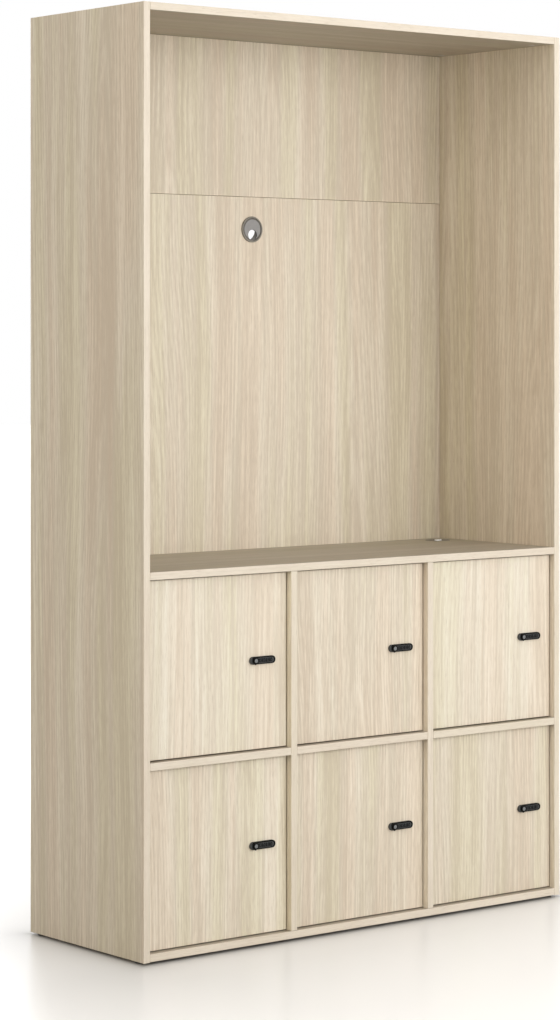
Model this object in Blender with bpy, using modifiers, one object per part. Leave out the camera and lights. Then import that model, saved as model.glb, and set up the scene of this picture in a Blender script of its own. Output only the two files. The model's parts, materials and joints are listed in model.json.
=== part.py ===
"""Office cabinet: an open niche over six lockers, each with a combination lock.

Lengths are in metres, +Z is up and the front faces -Y. The origin lies on the floor under the middle
of the cabinet.
"""

import math

import bmesh
import bpy
from mathutils import Vector

# Carcass
CABINET_WIDTH = 1.2
CABINET_DEPTH = 0.42
SIDE_HEIGHT = 2.0
BOARD_THICKNESS = 0.0165
BOTTOM_RISE = 0.001  # lower edge of the sides to the bottom panel
WORKTOP_HEIGHT = 0.812  # lower edge of the sides to the worktop's upper face
COLUMN_NAMES = ("left", "centre", "right")
ROW_NAMES = ("lower", "upper")

# Back panels
BACK_THICKNESS = 0.0165
BACK_RECESS = 0.004  # rear edge of the sides to the back panels
BACK_SEAM_HEIGHT = 1.625  # lower edge of the sides to the seam
BACK_SEAM_GAP = 0.0008

# Feet
FOOT_HEIGHT = 0.004
FOOT_DIAMETER = 0.015
FOOT_END_DISTANCE = 0.03  # front and rear edge of the sides to the middle of a foot

# Doors
DOOR_THICKNESS = 0.0165
DOOR_INSET = 0.015  # front edge of the carcass to the face of a door
DOOR_GAP = 0.0025

# Hinges
HINGE_AXIS_FROM_EDGE = 0.003
HINGE_AXIS_FROM_FACE = 0.003
HINGE_END_DISTANCE = 0.07  # upper and lower edge of a door to the middle of a hinge
CUP_DIAMETER = 0.035
CUP_DEPTH = 0.012
CUP_EDGE_DISTANCE = 0.005  # hinge edge of a door to the rim of a cup
ARM_WIDTH = 0.014
ARM_TIP = 0.009
ARM_NECK = 0.005
ARM_DOOR_CLEARANCE = 0.003  # back of a door to the neck of an arm
ARM_PLATE_THICKNESS = 0.012
ARM_PLATE_LENGTH = 0.05

# Locks
LOCK_LENGTH = 0.0685
LOCK_HEIGHT = 0.0165
LOCK_FACE = 0.006  # face of a door to the front of a lock's housing
LOCK_RIM_BEVEL = 0.0012
LOCK_EDGE_DISTANCE = 0.0335  # free edge of a door to the end of a lock's housing
LOCK_RISE = 0.0025  # middle of a door up to the axis of its knob
BARREL_DIAMETER = 0.0145
BARREL_OVERHANG = 0.002  # past the back of the door
BARREL_CLEARANCE = 0.0004
SPINDLE_DIAMETER = 0.007
SPINDLE_CLEARANCE = 0.0003
SPINDLE_END = 0.0015  # past the cam
KNOB_END_DISTANCE = 0.012  # end of the housing to the axis of the knob
KNOB_DIAMETER = 0.0145
KNOB_HEIGHT = 0.0047
KNOB_CHAMFER = 0.001
KEY_RECESS_DIAMETER = 0.0092
KEY_RECESS_DEPTH = 0.001
CAM_WIDTH = 0.014
CAM_THICKNESS = 0.0025
CAM_ENGAGEMENT = 0.008  # how far the cam reaches into the board beside the door
CAM_SLOT_CLEARANCE = 0.0012

# Number dials
DIAL_COUNT = 4
DIAL_DIAMETER = 0.0115
DIAL_WIDTH = 0.0082
DIAL_PITCH = 0.0098
DIAL_PROUD = 0.0008  # past the front of the housing
DIAL_CLEARANCE = 0.0005
DIAL_END_DISTANCE = 0.028  # end of the housing to the middle of the dials
DIAL_SHAFT_DIAMETER = 0.003
DIAL_SHAFT_END = 0.0012
DIAL_SHAFT_CLEARANCE = 0.0003
DIAL_BODY_WALL = 0.0012
DIAL_BODY_CLEARANCE = 0.0004

# Cable grommet
GROMMET_HEIGHT = 1.55  # lower edge of the sides to the middle of the grommet
GROMMET_FLANGE_DIAMETER = 0.06
GROMMET_FLANGE_THICKNESS = 0.003
GROMMET_TUBE_DIAMETER = 0.0555
GROMMET_TUBE_LENGTH = 0.02
GROMMET_HOLE_CLEARANCE = 0.0004
GROMMET_WALL = 0.0013
GROMMET_LEDGE = 0.0017
CAP_THICKNESS = 0.003
CAP_CLEARANCE = 0.0003
CAP_CHAMFER = 0.0012
CABLE_HOLE_DIAMETER = 0.023
CABLE_HOLE_DROP = 0.0127  # middle of the grommet to the middle of the cable hole

# Fits and fineness
FIT_GAP = 0.0003  # between pieces that touch
CUT_OVERSHOOT = 0.002  # of cutters past the faces that they open
JOIN_OVERLAP = 0.001  # of shapes that are joined
MERGE_DISTANCE = 0.00001
FINE_SIDES = 32
MEDIUM_SIDES = 24
COARSE_SIDES = 16
DIAL_SIDES = 10
END_STEPS = 8  # of a half round end
SHARP_ANGLE = math.radians(40)
FACING_FRONT = (math.radians(90), 0.0, 0.0)  # local x right, y up, z towards the front
LYING_ALONG_X = (0.0, math.radians(90), 0.0)

# Planes of the carcass
FRONT = -CABINET_DEPTH / 2
REAR = CABINET_DEPTH / 2
OUTER_LEFT = -CABINET_WIDTH / 2
OUTER_RIGHT = CABINET_WIDTH / 2
INNER_LEFT = OUTER_LEFT + BOARD_THICKNESS
INNER_RIGHT = OUTER_RIGHT - BOARD_THICKNESS
SIDE_BOTTOM = FOOT_HEIGHT
SIDE_TOP = SIDE_BOTTOM + SIDE_HEIGHT
BOTTOM_UPPER_FACE = SIDE_BOTTOM + BOTTOM_RISE + BOARD_THICKNESS
WORKTOP_UPPER_FACE = SIDE_BOTTOM + WORKTOP_HEIGHT
WORKTOP_LOWER_FACE = WORKTOP_UPPER_FACE - BOARD_THICKNESS
TOP_LOWER_FACE = SIDE_TOP - BOARD_THICKNESS
BACK_REAR_FACE = REAR - BACK_RECESS
BACK_FRONT_FACE = BACK_REAR_FACE - BACK_THICKNESS
BACK_SEAM = SIDE_BOTTOM + BACK_SEAM_HEIGHT
COLUMN_COUNT = len(COLUMN_NAMES)
ROW_COUNT = len(ROW_NAMES)
COLUMN_WIDTH = (CABINET_WIDTH - (COLUMN_COUNT + 1) * BOARD_THICKNESS) / COLUMN_COUNT
COLUMN_PITCH = COLUMN_WIDTH + BOARD_THICKNESS
LOCKERS_HEIGHT = WORKTOP_LOWER_FACE - BOTTOM_UPPER_FACE
ROW_HEIGHT = (LOCKERS_HEIGHT - (ROW_COUNT - 1) * BOARD_THICKNESS) / ROW_COUNT
ROW_PITCH = ROW_HEIGHT + BOARD_THICKNESS

# Doors and their locks, from the hinge axis
DOOR_WIDTH = COLUMN_WIDTH - 2 * DOOR_GAP
DOOR_HEIGHT = ROW_HEIGHT - 2 * DOOR_GAP
DOOR_FACE = FRONT + DOOR_INSET
DOOR_HINGE_EDGE = -HINGE_AXIS_FROM_EDGE
DOOR_FREE_EDGE = DOOR_HINGE_EDGE + DOOR_WIDTH
DOOR_FRONT = -HINGE_AXIS_FROM_FACE
DOOR_BACK = DOOR_FRONT + DOOR_THICKNESS
CUP_CENTRE = DOOR_HINGE_EDGE + CUP_EDGE_DISTANCE + CUP_DIAMETER / 2
CUP_FLOOR = DOOR_BACK - CUP_DEPTH
HINGE_RISE = DOOR_HEIGHT / 2 - HINGE_END_DISTANCE
KNOB_TO_FAR_END = LOCK_LENGTH - KNOB_END_DISTANCE
KNOB_CENTRE = DOOR_FREE_EDGE - LOCK_EDGE_DISTANCE - KNOB_TO_FAR_END

# Locks, from the knob's axis on the face of the door, with depth towards the front
DIAL_CENTRE = KNOB_TO_FAR_END - DIAL_END_DISTANCE
DIAL_AXIS_DEPTH = LOCK_FACE + DIAL_PROUD - DIAL_DIAMETER / 2
DIAL_SET_LENGTH = (DIAL_COUNT - 1) * DIAL_PITCH + DIAL_WIDTH
DIAL_POCKET_LENGTH = DIAL_SET_LENGTH + 2 * DIAL_CLEARANCE
DIAL_POCKET_HEIGHT = DIAL_DIAMETER + 2 * DIAL_CLEARANCE
DIAL_POCKET_FLOOR = DIAL_AXIS_DEPTH - DIAL_DIAMETER / 2 - DIAL_CLEARANCE
DIAL_SOCKETS_LENGTH = DIAL_POCKET_LENGTH + 2 * (DIAL_SHAFT_END + DIAL_SHAFT_CLEARANCE)
DIAL_BODY_LENGTH = DIAL_SOCKETS_LENGTH + 2 * DIAL_BODY_WALL
DIAL_BODY_HEIGHT = DIAL_POCKET_HEIGHT + 2 * DIAL_BODY_WALL
DIAL_BODY_FLOOR = DIAL_POCKET_FLOOR - DIAL_BODY_WALL
BARREL_END = -DOOR_THICKNESS - BARREL_OVERHANG
CAM_FRONT = BARREL_END - FIT_GAP
CAM_BACK = CAM_FRONT - CAM_THICKNESS
CAM_TO_BOARD = KNOB_TO_FAR_END + LOCK_EDGE_DISTANCE + DOOR_GAP
CAM_REACH = CAM_TO_BOARD + CAM_ENGAGEMENT

# Grommet, from its middle on the front face of the back panel, with depth towards the front
GROMMET_BORE = GROMMET_TUBE_DIAMETER - 2 * GROMMET_WALL
GROMMET_LEDGE_BORE = GROMMET_BORE - 2 * GROMMET_LEDGE
GROMMET_FLANGE_FRONT = FIT_GAP + GROMMET_FLANGE_THICKNESS
CAP_DIAMETER = GROMMET_BORE - 2 * CAP_CLEARANCE
CAP_BACK = GROMMET_FLANGE_FRONT - CAP_THICKNESS
GROMMET_LEDGE_FRONT = CAP_BACK - FIT_GAP
GROMMET_PLACE = Vector((0.0, BACK_FRONT_FACE, SIDE_BOTTOM + GROMMET_HEIGHT))

# Colour, roughness and metallic value of each finish
FINISHES = {
    "ash_laminate": ((0.72, 0.63, 0.49), 0.55, 0.0),
    "grey_plastic": ((0.36, 0.34, 0.32), 0.5, 0.0),
    "black_metal": ((0.02, 0.021, 0.022), 0.4, 0.6),
    "dial_plastic": ((0.05, 0.055, 0.06), 0.45, 0.0),
    "plated_steel": ((0.62, 0.62, 0.6), 0.3, 1.0),
    "black_rubber": ((0.03, 0.03, 0.03), 0.8, 0.0),
}


def clear_scene():
    for thing in list(bpy.data.objects):
        bpy.data.objects.remove(thing, do_unlink=True)


def new_collection(name):
    collection = bpy.data.collections.new(name)
    bpy.context.scene.collection.children.link(collection)
    return collection


def make_finishes():
    for name, (colour, roughness, metallic) in FINISHES.items():
        finish = bpy.data.materials.new(name)
        finish.use_nodes = True
        shader = finish.node_tree.nodes["Principled BSDF"]
        shader.inputs["Base Color"].default_value = (*colour, 1.0)
        shader.inputs["Roughness"].default_value = roughness
        shader.inputs["Metallic"].default_value = metallic


def add_piece(name, mesh, finish, place=(0.0, 0.0, 0.0), turn=(0.0, 0.0, 0.0)):
    """Add a sub-part of the cabinet."""
    if not mesh.materials:
        mesh.materials.append(bpy.data.materials[finish])
    piece = bpy.data.objects.new(name, mesh)
    piece.location = place
    piece.rotation_euler = turn
    PARTS.objects.link(piece)
    return piece


def add_cutter(name, mesh, place=(0.0, 0.0, 0.0), turn=(0.0, 0.0, 0.0)):
    """Add a shape that cuts a piece or is joined to it."""
    cutter = bpy.data.objects.new(name, mesh)
    cutter.location = place
    cutter.rotation_euler = turn
    cutter.hide_render = True
    cutter.display_type = "WIRE"
    CUTTERS.objects.link(cutter)
    return cutter


def carry(carrier, piece):
    """Make a piece move with the piece that carries it."""
    bpy.context.view_layer.update()
    piece.parent = carrier
    piece.matrix_parent_inverse = carrier.matrix_world.inverted()


def combine(piece, other, operation):
    change = piece.modifiers.new(other.name, "BOOLEAN")
    change.operation = operation
    change.object = other


def cut(piece, cutter):
    combine(piece, cutter, "DIFFERENCE")


def join(piece, other):
    combine(piece, other, "UNION")


def finished_mesh(shape, name):
    mesh = bpy.data.meshes.new(name)
    shape.to_mesh(mesh)
    shape.free()
    return mesh


def settled_mesh(pattern, name):
    """Return a pattern's mesh with its modifiers applied, and remove the pattern and its cutters."""
    bpy.context.view_layer.update()
    seen = pattern.evaluated_get(bpy.context.evaluated_depsgraph_get())
    mesh = bpy.data.meshes.new_from_object(seen)
    mesh.name = name
    mesh.shade_smooth()
    mesh.set_sharp_from_angle(angle=SHARP_ANGLE)
    cutters = [change.object for change in pattern.modifiers if change.type == "BOOLEAN"]
    for thing in (pattern, *cutters):
        bpy.data.objects.remove(thing, do_unlink=True)
    return mesh


def box_mesh(name, low, high):
    low, high = Vector(low), Vector(high)
    shape = bmesh.new()
    bmesh.ops.create_cube(shape, size=1.0)
    bmesh.ops.scale(shape, vec=high - low, verts=shape.verts)
    bmesh.ops.translate(shape, vec=(low + high) / 2, verts=shape.verts)
    return finished_mesh(shape, name)


def rod_mesh(name, diameter, start, end, sides):
    """Return a round rod between two points."""
    start, end = Vector(start), Vector(end)
    along = end - start
    shape = bmesh.new()
    bmesh.ops.create_cone(
        shape, cap_ends=True, segments=sides, radius1=diameter / 2, radius2=diameter / 2, depth=along.length
    )
    turn = Vector((0.0, 0.0, 1.0)).rotation_difference(along).to_matrix()
    bmesh.ops.rotate(shape, cent=(0.0, 0.0, 0.0), matrix=turn, verts=shape.verts)
    bmesh.ops.translate(shape, vec=(start + end) / 2, verts=shape.verts)
    return finished_mesh(shape, name)


def turned_pattern(name, profile, steps, closed=False):
    """Return a pattern turned about its z axis from a profile of radius and height, top to bottom."""
    shape = bmesh.new()
    points = [shape.verts.new((radius, 0.0, height)) for radius, height in profile]
    for one, other in zip(points, points[1:]):
        shape.edges.new((one, other))
    if closed:
        shape.edges.new((points[-1], points[0]))
    pattern = add_cutter(name, finished_mesh(shape, name))
    turning = pattern.modifiers.new("turning", "SCREW")
    turning.steps = steps
    turning.render_steps = steps
    turning.use_merge_vertices = True
    turning.merge_threshold = MERGE_DISTANCE
    return pattern


def outline_mesh(name, outlines, low, high):
    """Return flat outlines, the first one solid and the others holes, filled between two heights."""
    curve = bpy.data.curves.new(name, "CURVE")
    curve.dimensions = "2D"
    curve.fill_mode = "BOTH"
    curve.extrude = (high - low) / 2
    for outline in outlines:
        spline = curve.splines.new("POLY")
        spline.points.add(len(outline) - 1)
        for point, (x, y) in zip(spline.points, outline):
            point.co = (x, y, 0.0, 1.0)
        spline.use_cyclic_u = True
    drawn = add_cutter(name, curve)
    bpy.context.view_layer.update()
    seen = drawn.evaluated_get(bpy.context.evaluated_depsgraph_get())
    flat = bpy.data.meshes.new_from_object(seen)
    bpy.data.objects.remove(drawn, do_unlink=True)
    shape = bmesh.new()
    shape.from_mesh(flat)
    bpy.data.meshes.remove(flat)
    bmesh.ops.remove_doubles(shape, verts=shape.verts, dist=MERGE_DISTANCE)
    bmesh.ops.translate(shape, vec=(0.0, 0.0, (low + high) / 2), verts=shape.verts)
    return finished_mesh(shape, name)


def arc(centre, radius, first_angle, last_angle, steps):
    angles = [first_angle + (last_angle - first_angle) * step / steps for step in range(steps + 1)]
    return [(centre[0] + radius * math.cos(angle), centre[1] + radius * math.sin(angle)) for angle in angles]


def round_ended_bar(length, width):
    """Return the outline of a bar along x with half round ends, the first one about the origin."""
    quarter = math.pi / 2
    far_centre = (length - width, 0.0)
    near_end = arc((0.0, 0.0), width / 2, quarter, 3 * quarter, END_STEPS)
    far_end = arc(far_centre, width / 2, -quarter, quarter, END_STEPS)
    return near_end + far_end


def circle(diameter, sides):
    return arc((0.0, 0.0), diameter / 2, 0.0, 2 * math.pi, sides)[:-1]


def rounded_front_rim(mesh, front, width):
    """Bevel the rim of a flat piece's front face."""
    shape = bmesh.new()
    shape.from_mesh(mesh)
    rim = [
        edge
        for edge in shape.edges
        if all(abs(vert.co.z - front) < MERGE_DISTANCE for vert in edge.verts)
        and any(abs(face.normal.z) < MERGE_DISTANCE for face in edge.link_faces)
    ]
    bmesh.ops.bevel(shape, geom=rim, offset=width, segments=1, profile=0.5, affect="EDGES", material=-1)
    shape.to_mesh(mesh)
    shape.free()


def column_left(column):
    """Return the left face of a column of lockers."""
    return INNER_LEFT + column * COLUMN_PITCH


def row_bottom(row):
    return BOTTOM_UPPER_FACE + row * ROW_PITCH


def hinge_point(column, row):
    """Return the middle of a door's hinge axis."""
    return Vector((
        column_left(column) + DOOR_GAP + HINGE_AXIS_FROM_EDGE,
        DOOR_FACE + HINGE_AXIS_FROM_FACE,
        row_bottom(row) + ROW_HEIGHT / 2,
    ))


def knob_point(column, row):
    """Return where a knob's axis meets the face of its door."""
    return hinge_point(column, row) + Vector((KNOB_CENTRE, DOOR_FRONT, LOCK_RISE))


def make_board(name, low, high):
    return add_piece(name, box_mesh(name, low, high), "ash_laminate")


def cut_cam_slots(board, column, face):
    """Cut the slots that the cams of a column's locks swing into, in the board to the right of it."""
    drop = math.sqrt(CAM_REACH**2 - CAM_TO_BOARD**2)
    for row, row_name in enumerate(ROW_NAMES):
        axis = knob_point(column, row)
        low = (
            face - CUT_OVERSHOOT,
            axis.y - CAM_FRONT - CAM_SLOT_CLEARANCE,
            axis.z - drop - CAM_SLOT_CLEARANCE,
        )
        high = (
            face + CAM_ENGAGEMENT + CAM_SLOT_CLEARANCE,
            axis.y - CAM_BACK + CAM_SLOT_CLEARANCE,
            axis.z + CAM_WIDTH / 2 + CAM_SLOT_CLEARANCE,
        )
        name = f"cam_slot_{COLUMN_NAMES[column]}_{row_name}"
        cut(board, add_cutter(name, box_mesh(name, low, high)))


def make_sides():
    make_board("left_side_panel", (OUTER_LEFT, FRONT, SIDE_BOTTOM), (INNER_LEFT, REAR, SIDE_TOP))
    right = make_board("right_side_panel", (INNER_RIGHT, FRONT, SIDE_BOTTOM), (OUTER_RIGHT, REAR, SIDE_TOP))
    cut_cam_slots(right, COLUMN_COUNT - 1, INNER_RIGHT)


def make_shelves():
    left = INNER_LEFT + FIT_GAP
    right = INNER_RIGHT - FIT_GAP
    shelf_rear = BACK_FRONT_FACE - FIT_GAP
    make_board("top_panel", (left, FRONT, TOP_LOWER_FACE), (right, REAR, SIDE_TOP))
    make_board("worktop_shelf", (left, FRONT, WORKTOP_LOWER_FACE), (right, shelf_rear, WORKTOP_UPPER_FACE))
    make_board(
        "bottom_panel", (left, FRONT, SIDE_BOTTOM + BOTTOM_RISE), (right, REAR, BOTTOM_UPPER_FACE)
    )
    for column, column_name in enumerate(COLUMN_NAMES):
        shelf_left = column_left(column) + FIT_GAP
        shelf_right = column_left(column) + COLUMN_WIDTH - FIT_GAP
        shelf_top = row_bottom(1)
        make_board(
            f"middle_shelf_{column_name}",
            (shelf_left, FRONT, shelf_top - BOARD_THICKNESS),
            (shelf_right, shelf_rear, shelf_top),
        )


def make_dividers():
    for column, side in enumerate(("left", "right")):
        face = column_left(column) + COLUMN_WIDTH
        divider = make_board(
            f"divider_{side}",
            (face, FRONT, BOTTOM_UPPER_FACE + FIT_GAP),
            (face + BOARD_THICKNESS, BACK_FRONT_FACE - FIT_GAP, WORKTOP_LOWER_FACE - FIT_GAP),
        )
        cut_cam_slots(divider, column, face)


def make_backs():
    left = INNER_LEFT + FIT_GAP
    right = INNER_RIGHT - FIT_GAP
    make_board(
        "upper_back_panel",
        (left, BACK_FRONT_FACE, BACK_SEAM + BACK_SEAM_GAP / 2),
        (right, BACK_REAR_FACE, TOP_LOWER_FACE - FIT_GAP),
    )
    lower = make_board(
        "lower_back_panel",
        (left, BACK_FRONT_FACE, BOTTOM_UPPER_FACE + FIT_GAP),
        (right, BACK_REAR_FACE, BACK_SEAM - BACK_SEAM_GAP / 2),
    )
    hole = rod_mesh(
        "grommet_hole",
        GROMMET_TUBE_DIAMETER + 2 * GROMMET_HOLE_CLEARANCE,
        GROMMET_PLACE - Vector((0.0, CUT_OVERSHOOT, 0.0)),
        GROMMET_PLACE + Vector((0.0, BACK_THICKNESS + CUT_OVERSHOOT, 0.0)),
        FINE_SIDES,
    )
    cut(lower, add_cutter("grommet_hole", hole))


def make_feet():
    foot_top = FOOT_HEIGHT - FIT_GAP
    mesh = rod_mesh("foot", FOOT_DIAMETER, (0.0, 0.0, 0.0), (0.0, 0.0, foot_top), COARSE_SIDES)
    across = CABINET_WIDTH / 2 - BOARD_THICKNESS / 2
    along = CABINET_DEPTH / 2 - FOOT_END_DISTANCE
    for side, x in (("left", -across), ("right", across)):
        for end, y in (("front", -along), ("rear", along)):
            add_piece(f"foot_{end}_{side}", mesh, "black_rubber", (x, y, 0.0))


def make_grommet():
    flange, tube = GROMMET_FLANGE_DIAMETER / 2, GROMMET_TUBE_DIAMETER / 2
    bore, ledge = GROMMET_BORE / 2, GROMMET_LEDGE_BORE / 2
    ring_profile = [
        (bore, GROMMET_FLANGE_FRONT),
        (flange - CAP_CHAMFER, GROMMET_FLANGE_FRONT),
        (flange, GROMMET_FLANGE_FRONT - CAP_CHAMFER),
        (flange, FIT_GAP),
        (tube, FIT_GAP),
        (tube, -GROMMET_TUBE_LENGTH),
        (ledge, -GROMMET_TUBE_LENGTH),
        (ledge, GROMMET_LEDGE_FRONT),
        (bore, GROMMET_LEDGE_FRONT),
    ]
    ring = settled_mesh(turned_pattern("grommet_ring", ring_profile, FINE_SIDES, closed=True), "grommet_ring")
    add_piece("grommet_ring", ring, "grey_plastic", GROMMET_PLACE, FACING_FRONT)

    cap_edge = CAP_DIAMETER / 2
    cap_profile = [
        (0.0, GROMMET_FLANGE_FRONT),
        (cap_edge - CAP_CHAMFER, GROMMET_FLANGE_FRONT),
        (cap_edge, GROMMET_FLANGE_FRONT - CAP_CHAMFER),
        (cap_edge, CAP_BACK),
        (0.0, CAP_BACK),
    ]
    pattern = turned_pattern("grommet_cap", cap_profile, FINE_SIDES)
    hole = rod_mesh(
        "cable_hole",
        CABLE_HOLE_DIAMETER,
        (0.0, -CABLE_HOLE_DROP, CAP_BACK - CUT_OVERSHOOT),
        (0.0, -CABLE_HOLE_DROP, GROMMET_FLANGE_FRONT + CUT_OVERSHOOT),
        MEDIUM_SIDES,
    )
    cut(pattern, add_cutter("cable_hole", hole))
    cap = settled_mesh(pattern, "grommet_cap")
    add_piece("grommet_cap", cap, "grey_plastic", GROMMET_PLACE, FACING_FRONT)


def hinge_arm_mesh():
    """Return the arm of a hidden hinge, from the hinge axis, with its tip in the cup of the door."""
    board = DOOR_HINGE_EDGE - DOOR_GAP + FIT_GAP
    plate = board + ARM_PLATE_THICKNESS
    tip_left, tip_right = CUP_CENTRE - ARM_TIP / 2, CUP_CENTRE + ARM_TIP / 2
    tip_end = CUP_FLOOR + FIT_GAP
    neck_front = DOOR_BACK + ARM_DOOR_CLEARANCE
    neck_back = neck_front + ARM_NECK
    plate_back = neck_back + ARM_PLATE_LENGTH
    outline = [
        (tip_left, tip_end),
        (tip_right, tip_end),
        (tip_right, neck_back),
        (plate, neck_back),
        (plate, plate_back),
        (board, plate_back),
        (board, neck_front),
        (tip_left, neck_front),
    ]
    return outline_mesh("hinge_arm", [outline], -ARM_WIDTH / 2, ARM_WIDTH / 2)


def door_mesh():
    """Return a door, from its hinge axis, with its hinge cups and the seats of its lock."""
    low = (DOOR_HINGE_EDGE, DOOR_FRONT, -DOOR_HEIGHT / 2)
    high = (DOOR_FREE_EDGE, DOOR_BACK, DOOR_HEIGHT / 2)
    pattern = add_cutter("door", box_mesh("door", low, high))
    for name, height in (("upper_cup", HINGE_RISE), ("lower_cup", -HINGE_RISE)):
        floor = (CUP_CENTRE, CUP_FLOOR, height)
        mouth = (CUP_CENTRE, DOOR_BACK + CUT_OVERSHOOT, height)
        cut(pattern, add_cutter(name, rod_mesh(name, CUP_DIAMETER, floor, mouth, MEDIUM_SIDES)))
    barrel_hole = rod_mesh(
        "barrel_hole",
        BARREL_DIAMETER + 2 * BARREL_CLEARANCE,
        (KNOB_CENTRE, DOOR_FRONT - CUT_OVERSHOOT, LOCK_RISE),
        (KNOB_CENTRE, DOOR_BACK + CUT_OVERSHOOT, LOCK_RISE),
        COARSE_SIDES,
    )
    cut(pattern, add_cutter("barrel_hole", barrel_hole))
    half_length = DIAL_BODY_LENGTH / 2 + DIAL_BODY_CLEARANCE
    half_height = DIAL_BODY_HEIGHT / 2 + DIAL_BODY_CLEARANCE
    middle = KNOB_CENTRE + DIAL_CENTRE
    seat = box_mesh(
        "dial_seat",
        (middle - half_length, DOOR_FRONT - CUT_OVERSHOOT, LOCK_RISE - half_height),
        (middle + half_length, DOOR_FRONT - DIAL_BODY_FLOOR + DIAL_BODY_CLEARANCE, LOCK_RISE + half_height),
    )
    cut(pattern, add_cutter("dial_seat", seat))
    return settled_mesh(pattern, "door")


def lock_housing_mesh():
    """Return a lock's housing, from the knob's axis, with its barrel and the pocket of its dials."""
    shift = LOCK_HEIGHT / 2 - KNOB_END_DISTANCE
    outline = [(x + shift, y) for x, y in round_ended_bar(LOCK_LENGTH, LOCK_HEIGHT)]
    plate = outline_mesh("lock_housing", [outline], FIT_GAP, LOCK_FACE)
    rounded_front_rim(plate, LOCK_FACE, LOCK_RIM_BEVEL)
    pattern = add_cutter("lock_housing", plate)
    root = FIT_GAP + JOIN_OVERLAP
    barrel = rod_mesh("barrel", BARREL_DIAMETER, (0.0, 0.0, BARREL_END), (0.0, 0.0, root), COARSE_SIDES)
    join(pattern, add_cutter("barrel", barrel))
    body = box_mesh(
        "dial_body",
        (DIAL_CENTRE - DIAL_BODY_LENGTH / 2, -DIAL_BODY_HEIGHT / 2, DIAL_BODY_FLOOR),
        (DIAL_CENTRE + DIAL_BODY_LENGTH / 2, DIAL_BODY_HEIGHT / 2, root),
    )
    join(pattern, add_cutter("dial_body", body))
    pocket = box_mesh(
        "dial_pocket",
        (DIAL_CENTRE - DIAL_POCKET_LENGTH / 2, -DIAL_POCKET_HEIGHT / 2, DIAL_POCKET_FLOOR),
        (DIAL_CENTRE + DIAL_POCKET_LENGTH / 2, DIAL_POCKET_HEIGHT / 2, LOCK_FACE + CUT_OVERSHOOT),
    )
    cut(pattern, add_cutter("dial_pocket", pocket))
    sockets = rod_mesh(
        "shaft_sockets",
        DIAL_SHAFT_DIAMETER + 2 * DIAL_SHAFT_CLEARANCE,
        (DIAL_CENTRE - DIAL_SOCKETS_LENGTH / 2, 0.0, DIAL_AXIS_DEPTH),
        (DIAL_CENTRE + DIAL_SOCKETS_LENGTH / 2, 0.0, DIAL_AXIS_DEPTH),
        DIAL_SIDES,
    )
    cut(pattern, add_cutter("shaft_sockets", sockets))
    bore = rod_mesh(
        "spindle_bore",
        SPINDLE_DIAMETER + 2 * SPINDLE_CLEARANCE,
        (0.0, 0.0, BARREL_END - CUT_OVERSHOOT),
        (0.0, 0.0, LOCK_FACE + CUT_OVERSHOOT),
        COARSE_SIDES,
    )
    cut(pattern, add_cutter("spindle_bore", bore))
    return settled_mesh(pattern, "lock_housing")


def dial_set_mesh():
    """Return a lock's number dials on their shaft, about the shaft's middle."""
    shaft, rim = DIAL_SHAFT_DIAMETER / 2, DIAL_DIAMETER / 2
    shaft_end = DIAL_POCKET_LENGTH / 2 + DIAL_SHAFT_END
    profile = [(0.0, shaft_end), (shaft, shaft_end)]
    for dial in range(DIAL_COUNT):
        upper = DIAL_SET_LENGTH / 2 - dial * DIAL_PITCH
        lower = upper - DIAL_WIDTH
        profile += [(shaft, upper), (rim, upper), (rim, lower), (shaft, lower)]
    profile += [(shaft, -shaft_end), (0.0, -shaft_end)]
    return settled_mesh(turned_pattern("dial_set", profile, DIAL_SIDES), "dial_set")


def knob_mesh():
    """Return a knob with its spindle, about their axis from the face of the door."""
    base = LOCK_FACE + FIT_GAP
    top = base + KNOB_HEIGHT
    rim, spindle, recess = KNOB_DIAMETER / 2, SPINDLE_DIAMETER / 2, KEY_RECESS_DIAMETER / 2
    spindle_end = CAM_BACK - SPINDLE_END
    profile = [
        (0.0, top - KEY_RECESS_DEPTH),
        (recess, top - KEY_RECESS_DEPTH),
        (recess, top),
        (rim - KNOB_CHAMFER, top),
        (rim, top - KNOB_CHAMFER),
        (rim, base),
        (spindle, base),
        (spindle, spindle_end),
        (0.0, spindle_end),
    ]
    return settled_mesh(turned_pattern("knob", profile, MEDIUM_SIDES), "knob")


def cam_mesh():
    """Return a cam that hangs down from the knob's axis."""
    bar = [(y, -x) for x, y in round_ended_bar(CAM_REACH + CAM_WIDTH / 2, CAM_WIDTH)]
    hole = circle(SPINDLE_DIAMETER + 2 * SPINDLE_CLEARANCE, COARSE_SIDES)
    return outline_mesh("cam", [bar, hole], CAM_BACK, CAM_FRONT)


def make_lockers():
    """Make each locker's door with its hinge arms and its lock."""
    arm, door, housing = hinge_arm_mesh(), door_mesh(), lock_housing_mesh()
    dials, knob, cam = dial_set_mesh(), knob_mesh(), cam_mesh()
    dial_shift = Vector((DIAL_CENTRE, -DIAL_AXIS_DEPTH, 0.0))
    for row, row_name in enumerate(ROW_NAMES):
        for column, column_name in enumerate(COLUMN_NAMES):
            locker = f"{row_name}_{column_name}"
            hinge = hinge_point(column, row)
            lock = knob_point(column, row)
            for end, rise in (("top", HINGE_RISE), ("bottom", -HINGE_RISE)):
                seat = hinge + Vector((0.0, 0.0, rise))
                add_piece(f"hinge_arm_{locker}_{end}", arm, "plated_steel", seat)
            leaf = add_piece(f"door_{locker}", door, "ash_laminate", hinge)
            case = add_piece(f"lock_housing_{locker}", housing, "black_metal", lock, FACING_FRONT)
            wheels = add_piece(f"dial_set_{locker}", dials, "dial_plastic", lock + dial_shift, LYING_ALONG_X)
            grip = add_piece(f"knob_{locker}", knob, "black_metal", lock, FACING_FRONT)
            latch = add_piece(f"cam_{locker}", cam, "plated_steel", lock, FACING_FRONT)
            carry(leaf, case)
            carry(case, wheels)
            carry(case, grip)
            carry(grip, latch)


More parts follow.
